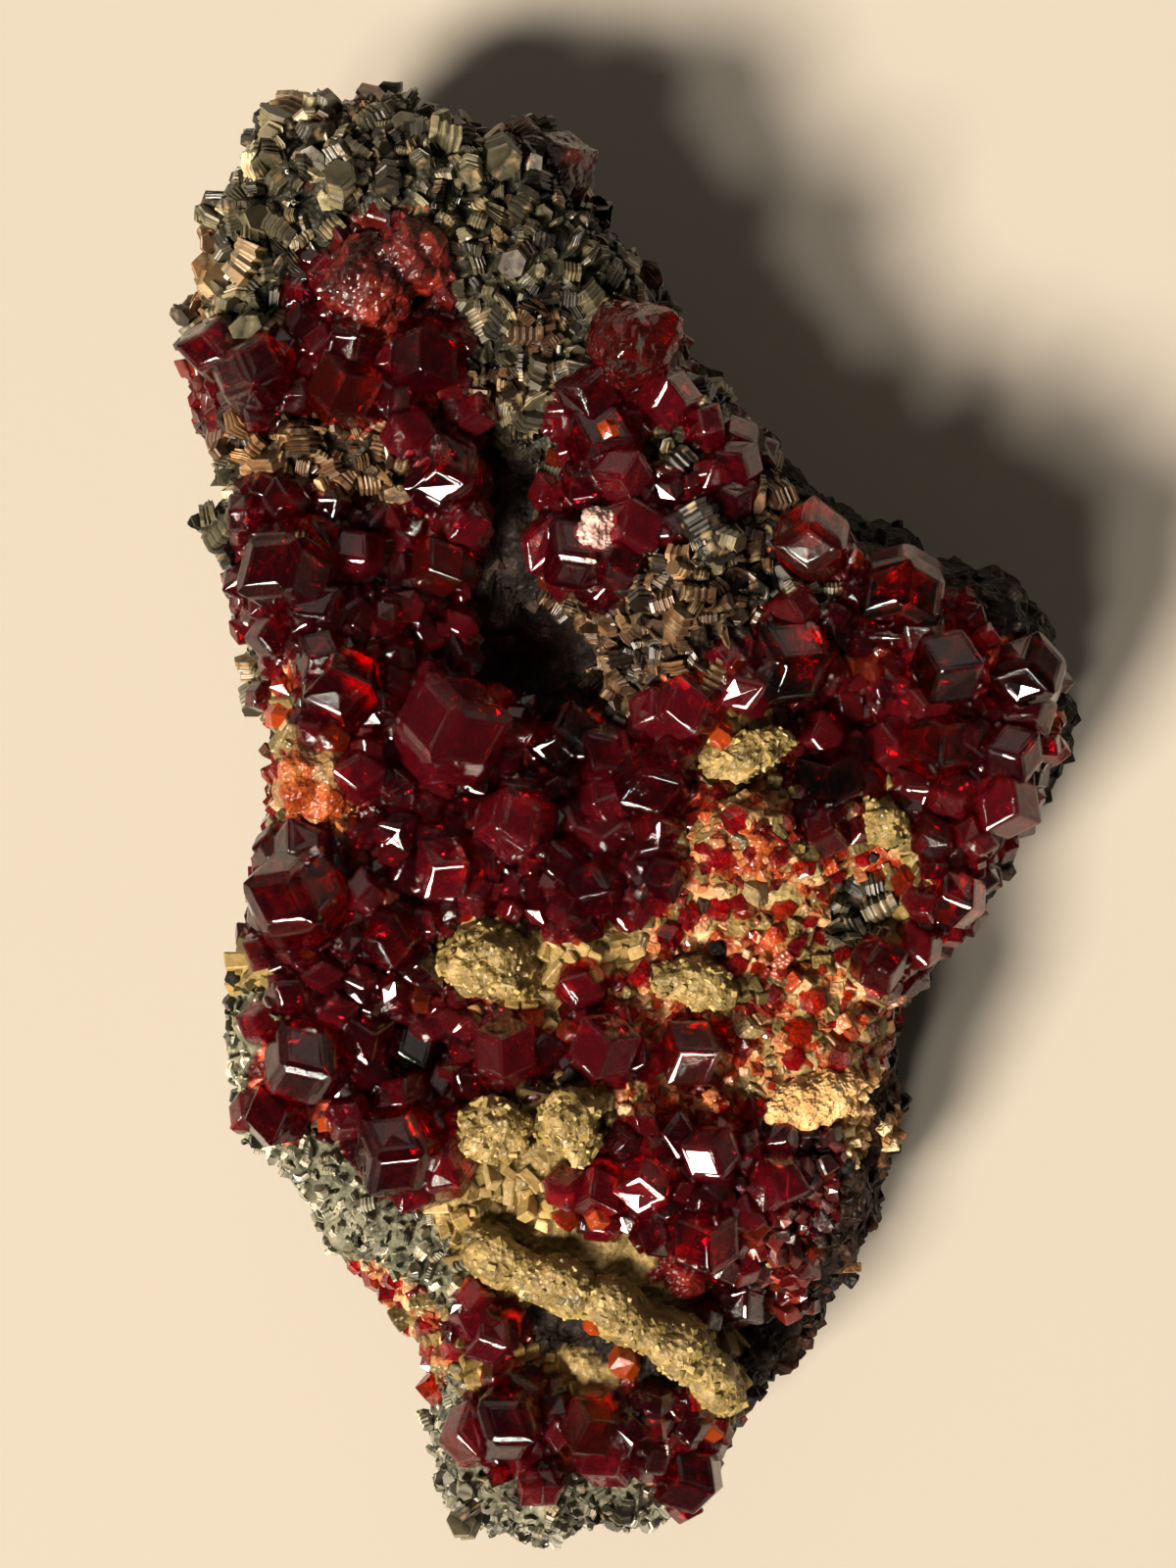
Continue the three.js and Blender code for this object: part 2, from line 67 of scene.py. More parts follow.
def linear(hex_color: str) -> Color:
    """Turns an sRGB hex colour into the linear colour that shaders take.

    Args:
        hex_color: Six hex digits, such as "8a7340".

    Returns:
        Linear red, green and blue, and an alpha of one.
    """
    channels = [int(hex_color[start:start + 2], 16) / 255 for start in (0, 2, 4)]
    red, green, blue = (
        value / 12.92 if value <= 0.04045 else ((value + 0.055) / 1.055) ** 2.4
        for value in channels
    )
    return (red, green, blue, 1.0)


def add_node(
    tree: bpy.types.NodeTree,
    kind: str,
    settings: dict[str, object] | None = None,
    sockets: dict[str | int, object] | None = None,
    stops: Sequence[tuple[float, Color]] = (),
) -> bpy.types.Node:
    """Adds a shader node with its settings and links.

    Args:
        tree: Node tree of the material.
        kind: Blender's name of the node type.
        settings: Properties of the node.
        sockets: Input sockets by name or number: a value, or an output socket to link.
        stops: Places and colours of a colour ramp, from left to right.

    Returns:
        The new node.
    """
    made = tree.nodes.new(kind)
    for name, value in (settings or {}).items():
        setattr(made, name, value)
    for name, value in (sockets or {}).items():
        if isinstance(value, bpy.types.NodeSocket):
            tree.links.new(value, made.inputs[name])
        else:
            made.inputs[name].default_value = value
    for index, (place, color) in enumerate(stops):
        elements = made.color_ramp.elements
        if index >= len(elements):
            elements.new(place)
        elements[index].position = place
        elements[index].color = color
    return made


def new_material(name: str) -> tuple[bpy.types.Material, bpy.types.NodeTree, bpy.types.Node]:
    """Makes an empty node material.

    Args:
        name: Name of the real material.

    Returns:
        The material, its node tree and its output node.
    """
    material = bpy.data.materials.new(name)
    material.use_nodes = True
    material.node_tree.nodes.clear()
    output = add_node(material.node_tree, "ShaderNodeOutputMaterial")
    return material, material.node_tree, output


# ----------------------------------------------------------------------------- minerals


class Mineral(Enum):
    """What the rock is made of at a place, or the near-black painted shade laid over it."""

    GREEN_CHLORITE = 0
    TAN_CHLORITE = 1
    PALE_CHLORITE = 2
    GARNET = 3
    RUST_GARNET = 4
    DIOPSIDE = 5
    PEACH_GARNET = 6
    CREAM_CRUST = 7
    # painted shade: a near-black rock colour for the hollows, the shaded flank and rim and the
    # shadows by the ridge, also one of the bands on the steep sides
    DARK_ROCK_AND_PAINTED_SHADE = 8
    BROWN_ROCK = 9
    GREEN_ROCK = 10
    SUGARY_DIOPSIDE = 11


@dataclass(frozen=True)
class Patch:
    """An oval of one mineral on the crystal face: middle, half widths and turn."""

    mineral: Mineral
    x: float
    y: float
    wide: float
    tall: float
    turn: float = 0.0


def patches(mineral: Mineral, ovals: Sequence[Sequence[float]]) -> list[Patch]:
    """Turns rows of millimetres into patches of one mineral.

    Args:
        mineral: The mineral of them all.
        ovals: Rows of x, y, half width, half height and, where it leans, turn in degrees.

    Returns:
        One patch for each row.
    """
    return [Patch(mineral, *oval) for oval in ovals]


PATCHES: list[Patch] = [
    *patches(Mineral.GREEN_CHLORITE, [
        (-26, 53.5, 11, 7), (-32.5, 46, 5, 7), (-13, 51, 9, 8, -30), (-8, 44, 8, 7, -45),
        (-11.5, 38, 3.5, 6), (0, 46, 3, 4, -50), (-11.5, 32.5, 2.5, 2.5), (-8, 32, 2, 3),
        (-34.5, 26.5, 2, 4), (-33, 13.5, 2.5, 2.5), (1, 30, 2.5, 2.5), (5, 35, 2.5, 2),
        (6, 24.5, 3, 2), (10.5, 19, 4.5, 2.5), (17, -6.5, 2.2, 3), (-33, 3, 1.2, 5),
        (-14.6, -55, 2.6, 4), (-3.6, -54.6, 4, 2.4),
    ]),
    *patches(Mineral.TAN_CHLORITE, [
        (-28.5, 30.5, 6.5, 2.4, -12), (-22, 29.5, 4, 2.5, -40), (2, 18, 7, 5, -20),
        (-5, 18.2, 5, 2.2, -25), (7.5, 22, 4.5, 3), (-1.8, 12.5, 2.6, 4.5), (9.2, 28, 2, 4),
        (-11.5, 36.5, 3.4, 3.6), (-36, 47, 1.5, 8), (-25, 58.5, 4, 1.5),
        (-8.4, 41, 3, 4, -45), (-13, 56, 4, 2),
    ]),
    *patches(Mineral.PALE_CHLORITE, [
        (-34, -17, 3, 6), (-30, -13.2, 4, 1.5, -20), (-24.5, -29, 7, 4, -35),
        (-19.5, -33, 5, 3, -35), (-15.5, -54, 4, 5.4), (-9, -56.5, 7, 4), (-4, -54, 5, 4),
        (0, -55.5, 3, 3.5), (-16, -46, 1.5, 4),
    ]),
    *patches(Mineral.GARNET, [
        (-26.5, 42, 2.2, 4), (-21, 37, 8, 4.5, -10), (-31.5, 36, 4.5, 4), (-3, 32, 4.5, 4),
        (-17, 32, 4, 4), (-27.5, 22, 7.5, 6), (-17.5, 26, 4, 7), (-22.5, 16, 8, 5),
        (-24, 11, 6, 5), (-16, 6, 8, 6), (-12, -1, 9, 6), (-4, 4, 6, 5), (-28, -5, 6, 6),
        (-20, -4, 5, 6), (-22, -12, 7, 4), (-26, -18.5, 5, 5), (-20, -21, 6, 7),
        (-12, -17, 6, 4.5), (-13, -39.5, 3, 2.6), (-9, -46.8, 5.6, 3.2), (0, -46, 3.6, 4.4, -30),
        (4, -52, 3.5, 3.2), (-5, 23, 4.5, 4), (7, 31, 2.6, 4.5), (1, 26.5, 4, 3),
        (12, 22, 3, 3), (18, 17, 4, 2.6), (12, 14, 6, 4.5), (22.5, 11.5, 7, 6), (28, 9, 3, 4.5),
        (24, 7, 6, 4), (14, 4, 4, 5), (28, 2, 3.6, 3), (23, 1.5, 3, 3), (2, 8.5, 3, 3),
        (0, 4, 4.4, 4), (-2.5, -3, 4, 4.4), (25, -5.5, 4, 4), (21, -10.5, 2.4, 2),
        (-5.4, -16, 3, 3.4), (2, -25.5, 7, 3), (-2, -28, 6.5, 3.6),
        (3, -31, 6, 5), (5, -36, 3.4, 2.4), (8, -26.5, 4, 5),
        (-17.5, 14, 2.6, 4), (-8.6, -52.6, 1.4, 0.8),
    ]),
    *patches(Mineral.RUST_GARNET, [
        (-20.8, 44.5, 5.6, 5, 20), (-6.5, 54, 2.4, 4, -35), (-1, 38.6, 4.6, 4.4),
        (-35.6, 36.5, 2, 4.5), (11.5, -31, 3.6, 6), (9.6, -38, 3, 4), (12.5, -26.5, 3.4, 3),
    ]),
    *patches(Mineral.DIOPSIDE, [
        (-32, -11, 2.4, 2.4), (-12.6, -10, 4.8, 3.2), (-12, -31, 6, 4, -20),
        (-6.5, -35.5, 8, 3, -22), (3, -41, 6, 2.8, -48), (-9, -28, 4, 2.4),
        (-12.4, -23.5, 3.4, 3), (-6.2, -22.6, 3.4, 3.2), (-8.8, -13.8, 3, 2), (-6, -43.3, 3, 1.8),
        (-14, -42.5, 3, 2.5), (6.5, 6.8, 4.2, 2.8), (8, 9.6, 2.6, 1.4), (19, 3.2, 3.4, 1.8, -30),
        (-2, -8.6, 2.5, 2.4), (4, -12.4, 4.6, 2), (21, -1, 1.6, 3), (20.3, -8, 1.6, 3),
        (-2, -33.5, 3, 2),
    ]),
    *patches(Mineral.PEACH_GARNET, [
        (-27, 4.5, 4.8, 5), (-28.4, 11.4, 2.4, 3), (-20, -9.8, 1.8, 2.5), (8, -1, 6, 5),
        (11.5, -8, 4, 4.4), (4.5, -7.4, 6, 3, -20), (10, 3, 4, 2.4), (12, -17, 6, 3.4),
        (17.5, -14, 4, 3.4), (17.5, -2, 3.6, 2.6), (2.6, -10, 4, 2.4), (31, 8.8, 2.6, 1.8),
        (-20, -38.5, 4, 3, -30), (-17.4, -43, 1.4, 4), (-9, -50.6, 3, 1), (2.4, -12.4, 5, 3),
        (6, -16.4, 4.6, 3), (3.4, -21.4, 4.4, 2.2), (15, 2.4, 2.4, 1.8),
        (10.5, -35, 1.4, 2),
    ]),
    *patches(Mineral.CREAM_CRUST, [
        (12.6, -21.2, 4.8, 2.2, 18), (17, -25.4, 1.3, 3.2), (20.2, -24.6, 1.4, 1.4),
    ]),
    # painted shade: near-black rock over the deep hollows, the shaded right flank and rim, and the
    # shadows by the ridge
    *patches(Mineral.DARK_ROCK_AND_PAINTED_SHADE, [
        (6, 39.5, 3.4, 6, 40), (13, 30, 4, 6, 38), (19, 25.6, 8, 4, -28),
        (26, 23, 5, 3.2, -20), (31.5, 18.5, 5, 4), (34.5, 14, 3, 6), (36.2, 8, 2.4, 4),
        (33, -1, 3.4, 4), (29, -4, 2.2, 3), (24, -12.5, 2, 5, -30), (10, -41.5, 5.5, 3.2, -40),
        (-11.5, 27, 2.6, 5.5, 15), (-1.5, 48.5, 1.4, 6, 50), (-9.4, 15.5, 6.2, 7, -20),
        (-3.6, 9.4, 4, 3, -35), (0, -42.6, 5, 1.8, -48), (-5, -40.5, 4, 1.6, -20),
    ]),
    *patches(Mineral.BROWN_ROCK, [
        (20.6, -21, 2.4, 4), (18.6, -29, 4, 6), (15.6, -37, 3.6, 6), (12, -45, 3.4, 5),
    ]),
]
PATCH_WANDER = 1.3  # how far the edge of a patch wanders
PATCH_WANDER_WAVE = 3.5  # spacing of that wandering
SIDE_SLOPE = 0.12  # the broken sides of the rock start where it is steeper than this
SIDE_SLOPE_WANDER = 0.25  # how much that limit varies
# bands of darker rock colour on the steep sides; one of them is the near-black painted shade
SIDE_MINERALS = (Mineral.BROWN_ROCK, Mineral.GREEN_ROCK, Mineral.DARK_ROCK_AND_PAINTED_SHADE, Mineral.BROWN_ROCK)
SIDE_BAND_WAVE = 9.0  # spacing of the bands of these minerals
SIDE_BAND_SPREAD = 2.6  # how many of them the noise runs over
ACROSS_SHIFT, BAND_SHIFT = 50, 90  # places this far off give noise of their own


def smooth_noise(points: np.ndarray, wave: float) -> np.ndarray:
    """Returns soft noise from about -1 to 1 at many places.

    Args:
        points: Places in millimetres.
        wave: Wave length of the noise, in millimetres.
    """
    return np.array([noise.noise(Vector(spot)) for spot in (points / wave).tolist()])


def minerals_at(points: np.ndarray, normals: np.ndarray) -> np.ndarray:
    """Finds the mineral at many places: the patch that reaches them best wins.

    The broken sides and back have their own, darker rock colours, one of them the near-black
    painted shade, whose own patches stay as they are.

    Args:
        points: Places in millimetres, one row of x, y and z each.
        normals: Direction of the surface at each place.

    Returns:
        The value of the Mineral at each place.
    """
    wander = np.stack([
        smooth_noise(points, PATCH_WANDER_WAVE),
        smooth_noise(points + ACROSS_SHIFT, PATCH_WANDER_WAVE),
    ], axis=1)
    spots = points[:, :2] + PATCH_WANDER * wander
    best = np.full(len(points), np.inf)
    found = np.zeros(len(points), dtype=int)
    for patch in PATCHES:
        lean = math.radians(patch.turn)
        away = spots - (patch.x, patch.y)
        along = (away[:, 0] * math.cos(lean) + away[:, 1] * math.sin(lean)) / patch.wide
        across = (away[:, 1] * math.cos(lean) - away[:, 0] * math.sin(lean)) / patch.tall
        reach = np.hypot(along, across)
        closer = reach < best
        best[closer] = reach[closer]
        found[closer] = patch.mineral.value
    steep = normals[:, 2] + SIDE_SLOPE_WANDER * wander[:, 0] < SIDE_SLOPE
    kinds = len(SIDE_MINERALS)
    band = kinds / 2 + SIDE_BAND_SPREAD * smooth_noise(points + BAND_SHIFT, SIDE_BAND_WAVE)
    band = np.clip(band, 0, kinds - 0.01).astype(int)
    sides = np.array([mineral.value for mineral in SIDE_MINERALS])[band]
    return np.where(steep & (found != Mineral.DARK_ROCK_AND_PAINTED_SHADE.value), sides, found)


@dataclass(frozen=True)
class GroundLook:
    """How one mineral looks where it is bare: colours from dark to light, and roughness."""

    colors: tuple[str, str, str]
    roughness: float


# what the rock shows of each mineral; several looks are grown through each other
GROUND_LOOKS: dict[Mineral, tuple[GroundLook, ...]] = {
    Mineral.GREEN_CHLORITE: (GroundLook(("12120d", "2a2a20", "4c4a3a"), 0.5),),
    Mineral.TAN_CHLORITE: (GroundLook(("1a1510", "382c1f", "5e4e38"), 0.5),),
    Mineral.PALE_CHLORITE: (GroundLook(("343428", "6c6c58", "9e9a84"), 0.55),),
    Mineral.GARNET: (GroundLook(("240605", "4c0f0b", "7c1e16"), 0.35),),
    Mineral.RUST_GARNET: (GroundLook(("200806", "46120c", "6e2014"), 0.35),),
    Mineral.DIOPSIDE: (GroundLook(("564a2a", "8c784a", "b49e6a"), 0.45),),
    Mineral.PEACH_GARNET: (
        GroundLook(("581008", "a43418", "cc7040"), 0.35),
        GroundLook(("7c3018", "c4784a", "e4b080"), 0.4),
        GroundLook(("5c4a26", "94804a", "beaa78"), 0.45),
        GroundLook(("8c6440", "c89c6c", "ecca9a"), 0.5),
    ),
    Mineral.CREAM_CRUST: (GroundLook(("7e5a32", "c09058", "e4bc84"), 0.9),),
    # painted shade: near black and dull
    Mineral.DARK_ROCK_AND_PAINTED_SHADE: (GroundLook(("0b0806", "1b1511", "362b23"), 0.8),),
    Mineral.BROWN_ROCK: (GroundLook(("100907", "281a13", "4e3626"), 0.7),),
    Mineral.GREEN_ROCK: (GroundLook(("191a13", "35362b", "626050"), 0.6),),
}
GLOW_BACKING_COLOR = "ff7c5c"  # painted light: a pale salmon backing right behind a clear crystal, which sends light back through it as its red glow


# -------------------------------------------------------------------------- mesh helpers


MERGE_MM = 0.002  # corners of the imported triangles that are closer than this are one
CELL_PRIMES = (73856093, 19349663, 83492791, 668265263)  # for x, y, z and the channel
MIX_ROUNDS = ((13, 60493), (11, 19990303))  # shifts and factors that scramble a cell's number
MIX_MASK = 0x7FFFFFFF  # keeps that number below 32 bits
BLOCK_REACH = 0.75  # height of a crystal block over its own middle, in cells
BLOCK_LEVEL = 0.3  # mean height of a surface of blocks, in cells
SOLE_MM = 0.3  # the rock stays flat up to this height
SOLE_FADE_MM = 1.5  # its relief comes in over this height
BLOTCH_GRAINS = 2.2  # width of a blotch of colour, in grains
TINY = 1e-9  # keeps divisions away from zero


@dataclass(frozen=True)
class Shape:
    """A small closed shape as plain arrays, ready to be copied many times."""

    points: np.ndarray
    corners: np.ndarray
    face_sizes: np.ndarray
    growth: np.ndarray  # map of each corner, as mark_growth makes it


def select_only(piece: bpy.types.Object) -> None:
    """Makes one object the only selected and active one."""
    for other in bpy.context.selected_objects:
        other.select_set(False)
    piece.select_set(True)
    bpy.context.view_layer.objects.active = piece


@contextmanager
def edit_mode() -> Iterator[None]:
    """Edits the active object, with everything selected at first."""
    bpy.ops.object.mode_set(mode="EDIT")
    bpy.ops.mesh.select_all(action="SELECT")
    yield
    bpy.ops.object.mode_set(mode="OBJECT")


def select_faces(piece: bpy.types.Object, chosen: Callable[[bpy.types.MeshPolygon], bool]) -> None:
    """Selects faces in edit mode by a test.

    Args:
        piece: The object that is in edit mode.
        chosen: Says which faces are wanted.
    """
    bpy.ops.mesh.select_mode(type="FACE")
    bpy.ops.mesh.select_all(action="DESELECT")
    bpy.ops.object.mode_set(mode="OBJECT")
    for face in piece.data.polygons:
        face.select = chosen(face)
    bpy.ops.object.mode_set(mode="EDIT")


def copy_of_node(node: str, name: str) -> bpy.types.Object:
    """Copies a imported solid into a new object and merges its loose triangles.

    Args:
        node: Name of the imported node.
        name: Name of the new piece.

    Returns:
        The new object, at the origin.
    """
    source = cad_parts[node]
    mesh = source.data.copy()
    mesh.materials.clear()
    mesh.transform(source.matrix_world)
    piece = bpy.data.objects.new(name, mesh)
    bpy.context.scene.collection.objects.link(piece)
    select_only(piece)
    with edit_mode():
        bpy.ops.mesh.remove_doubles(threshold=MERGE_MM * MM)
    return piece


def apply_modifier(piece: bpy.types.Object, kind: str, **settings: object) -> None:
    """Adds a modifier with its settings and applies it.

    Args:
        piece: The object to change.
        kind: Blender's name of the modifier type.
        **settings: Properties of the modifier.
    """
    select_only(piece)
    modifier = piece.modifiers.new(kind.lower(), kind)
    for key, value in settings.items():
        setattr(modifier, key, value)
    bpy.ops.object.modifier_apply(modifier=modifier.name)


def values_of(
    items: bpy.types.bpy_prop_collection,
    name: str,
    width: int = 1,
    kind: type = float,
) -> np.ndarray:
    """Reads one property of many mesh elements.

    Args:
        items: Vertices, loops, faces or the like.
        name: Name of the property.
        width: How many numbers the property has.
        kind: Type of the numbers.

    Returns:
        The numbers, in rows where the property has several.
    """
    flat = np.empty(len(items) * width, dtype=kind)
    items.foreach_get(name, flat)
    return flat.reshape(-1, width) if width > 1 else flat


def positions(mesh: bpy.types.Mesh) -> np.ndarray:
    """Reads the vertex places of a mesh, in metres."""
    return values_of(mesh.vertices, "co", 3)


def set_positions(mesh: bpy.types.Mesh, places: np.ndarray) -> None:
    """Writes the vertex places of a mesh, in metres."""
    mesh.vertices.foreach_set("co", places.ravel())
    mesh.update()


def vertex_normals(mesh: bpy.types.Mesh) -> np.ndarray:
    """Reads the vertex normals of a mesh."""
    return values_of(mesh.vertex_normals, "vector", 3)


def scrambled(cells: np.ndarray, channel: int) -> np.ndarray:
    """Returns an even number from 0 to 1 for each cell of a grid.

    Args:
        cells: Whole numbers of the cells, three in each row.
        channel: Which of the cell's numbers is wanted.
    """
    first, second, third, fourth = CELL_PRIMES
    mixed = cells[:, 0] * first ^ cells[:, 1] * second ^ cells[:, 2] * third
    mixed = (mixed + channel * fourth) & MIX_MASK
    for shift, factor in MIX_ROUNDS:
        mixed = ((mixed >> shift) ^ mixed) * factor & MIX_MASK
    return ((mixed >> 7) & 0xFFFF) / 0x10000


def grown_blocks(points: np.ndarray, cell: float) -> tuple[np.ndarray, np.ndarray]:
    """Fills space with crystal blocks that lean every way, as in a granular stone.

    Every cell of a grid holds one block, turned and placed by its own numbers, and a
    place belongs to the block that reaches out over it furthest.

    Args:
        points: Places in millimetres.
        cell: Mean width of a block, in millimetres.

    Returns:
        Heights from about -0.5 to 0.5, and an even number from 0 to 1 for each block.
    """
    scaled = points / cell
    corner = np.floor(scaled).astype(np.int64)
    height = np.full(len(points), -np.inf)
    shade = np.zeros(len(points))
    for step in np.ndindex(3, 3, 3):
        cells = corner + np.array(step) - 1
        seeds = cells + np.stack([scrambled(cells, channel) for channel in range(3)], axis=1)
        turn = np.stack([scrambled(cells, channel) - 0.5 for channel in range(3, 7)], axis=1)
        turn /= np.linalg.norm(turn, axis=1, keepdims=True) + TINY
        away = scaled - seeds
        axis, amount = turn[:, :3], turn[:, 3:]
        leaned = away + 2 * np.cross(axis, np.cross(axis, away) + amount * away)
        block = BLOCK_REACH - np.abs(leaned).max(axis=1)
        higher = block > height
        height[higher] = block[higher]
        shade[higher] = scrambled(cells, 7)[higher]
    return height - BLOCK_LEVEL, shade


@dataclass(frozen=True)
class Relief:
    """One layer of surface relief: crystal blocks or soft swells, in millimetres."""

    width: float
    height: float
    blocks: bool = True


def roughen(piece: bpy.types.Object, layers: Sequence[Relief], keep_sole: bool = False) -> None:
    """Moves a mesh's vertices along their normals by layers of relief.

    Args:
        piece: The object to change.
        layers: The layers of relief.
        keep_sole: Leaves the flat sole where it is.
    """
    mesh = piece.data
    places = positions(mesh) / MM
    moves = np.zeros(len(places))
    for layer in layers:
        if layer.blocks:
            moves += layer.height * grown_blocks(places, layer.width)[0]
        else:
            moves += layer.height * smooth_noise(places, layer.width)
    if keep_sole:
        moves *= np.clip((places[:, 2] - SOLE_MM) / SOLE_FADE_MM, 0, 1)
    set_positions(mesh, (places + vertex_normals(mesh) * moves[:, None]) * MM)


def shares(points: np.ndarray, grain: float) -> np.ndarray:
    """Returns how light each place is, by blotches and by grains.

    Args:
        points: Places in millimetres.
        grain: Width of the grains that have a shade each, in millimetres.

    Returns:
        Numbers from 0 to 1.
    """
    soft = 0.5 + smooth_noise(points, BLOTCH_GRAINS * grain)
    return np.clip(0.5 * soft + 0.5 * grown_blocks(points, grain)[1], 0, 1)


def tints_of(
    share: np.ndarray,
    looks: Sequence[GroundLook],
    which: np.ndarray,
) -> tuple[np.ndarray, np.ndarray]:
    """Picks colours between the three of each look.

    Args:
        share: How light each place is, from 0 to 1.
        looks: The looks.
        which: Number of the look at each place.

    Returns:
        Linear colour and roughness at each place.
    """
    stops = np.array([[linear(color)[:3] for color in look.colors] for look in looks])[which]
    low = np.clip(share * 2, 0, 1)[:, None]
    high = np.clip(share * 2 - 1, 0, 1)[:, None]
    color = stops[:, 0] * (1 - low) + stops[:, 1] * (low - high) + stops[:, 2] * high
    return color, np.array([look.roughness for look in looks])[which]


def store_tint(mesh: bpy.types.Mesh, color: np.ndarray, roughness: np.ndarray) -> None:
    """Stores a colour at each vertex, with the roughness in its alpha.

    Args:
        mesh: The mesh to colour.
        color: Linear colour of each vertex.
        roughness: Roughness of each vertex.
    """
    layer = mesh.attributes.new("tint", "FLOAT_COLOR", "POINT")
    layer.data.foreach_set("color", np.concatenate([color, roughness[:, None]], axis=1).ravel())


def mark_growth(mesh: bpy.types.Mesh) -> None:
    """Gives each face its own map: zero at its middle and one at its far corners.

    Growth rings of a garnet follow the sum of the two map distances, so they run
    parallel to the edges of its diamond faces.

    Args:
        mesh: The mesh to map.
    """
    layer = mesh.uv_layers.new(name="growth")
    for face in mesh.polygons:
        aways = [mesh.vertices[index].co - face.center for index in face.vertices]
        far = max(aways, key=lambda away: away.length)
        first = far.normalized()
        second = face.normal.cross(first)
        reach = max(far.length, TINY)
        width = max(TINY, *(abs(away.dot(second)) for away in aways))
        for loop, away in zip(face.loop_indices, aways):
            layer.data[loop].uv = (away.dot(first) / reach, away.dot(second) / width)


def shape_from(piece: bpy.types.Object) -> Shape:
    """Reads a modelled object into arrays and removes it.

    Args:
        piece: The object, whose place is in its mesh.

    Returns:
        The shape, in the object's own units.
    """
    mesh = piece.data
    if "growth" not in mesh.uv_layers:
        mark_growth(mesh)
    shape = Shape(
        positions(mesh),
        values_of(mesh.loops, "vertex_index", kind=np.int64),
        values_of(mesh.polygons, "loop_total", kind=np.int64),
        values_of(mesh.uv_layers["growth"].data, "uv", 2),
    )
    bpy.data.objects.remove(piece)
    bpy.data.meshes.remove(mesh)
    return shape


def settle(
    piece: bpy.types.Object,
    finishes: Sequence[bpy.types.Material],
    node: str | None = None,
) -> None:
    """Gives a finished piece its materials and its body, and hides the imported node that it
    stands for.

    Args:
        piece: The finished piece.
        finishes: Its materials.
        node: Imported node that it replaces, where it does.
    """
    for finish in finishes:
        piece.data.materials.append(finish)
    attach(piece, BODY)
    if node:
        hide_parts(node)
    LOG.info("%s: %d faces", piece.name, len(piece.data.polygons))


@dataclass
class Swarm:
    """Many copies of small shapes, gathered into one mesh."""

    name: str
    slot: str
    finishes: list[bpy.types.Material]
    roughness: float = 0.4
    batches: list[tuple[Shape, np.ndarray, np.ndarray, np.ndarray]] = field(default_factory=list)

    def add(
        self,
        shape: Shape,
        frames: np.ndarray,
        tints: np.ndarray | None = None,
        finish: np.ndarray | None = None,
    ) -> None:
        """Adds copies of a shape.

        Args:
            shape: The shape to copy.
            frames: One 4 by 4 matrix for each copy, in metres.
            tints: Linear colour of each copy; clear ones need none.
            finish: Number of each copy's finish, where the swarm has several.
        """
        if len(frames):
            tints = np.ones((len(frames), 3)) if tints is None else tints
            finish = np.zeros(len(frames), dtype=int) if finish is None else finish
            self.batches.append((shape, frames, tints, finish))

    def build(self) -> None:
        """Makes the joined mesh, where anything was added."""
        if not self.batches:
            return
        rows = []
        start = 0
        for shape, frames, tints, finish in self.batches:
            count = len(frames)
            turned = np.einsum("nij,vj->nvi", frames[:, :3, :3], shape.points)
            steps = start + np.arange(count) * len(shape.points)
            rows.append((
                (turned + frames[:, None, :3, 3]).reshape(-1, 3),
                (shape.corners[None, :] + steps[:, None]).ravel(),
                np.tile(shape.face_sizes, count),
                np.tile(shape.growth, (count, 1)),
                np.repeat(tints, len(shape.points), axis=0),
                np.repeat(finish, len(shape.face_sizes)),
            ))
            start += count * len(shape.points)
        points, corners, sizes, growth, colors, finishes = map(np.concatenate, zip(*rows))
        mesh = bpy.data.meshes.new(self.name)
        mesh.vertices.add(len(points))
        mesh.vertices.foreach_set("co", points.ravel())
        mesh.loops.add(len(corners))
        mesh.loops.foreach_set("vertex_index", corners)
        mesh.polygons.add(len(sizes))
        mesh.polygons.foreach_set("loop_start", np.concatenate([[0], np.cumsum(sizes)[:-1]]))
        mesh.polygons.foreach_set("material_index", finishes)
        mesh.polygons.foreach_set("use_smooth", np.zeros(len(sizes), dtype=bool))
        mesh.update(calc_edges=True)
        layer = mesh.uv_layers.new(name="growth")
        layer.data.foreach_set("uv", growth.ravel())
        store_tint(mesh, colors, np.full(start, self.roughness))
        mesh.validate()
        piece = bpy.data.objects.new(self.name, mesh)
        bpy.context.scene.collection.objects.link(piece)
        settle(piece, self.finishes)


# ------------------------------------------------------------------------------ finishes


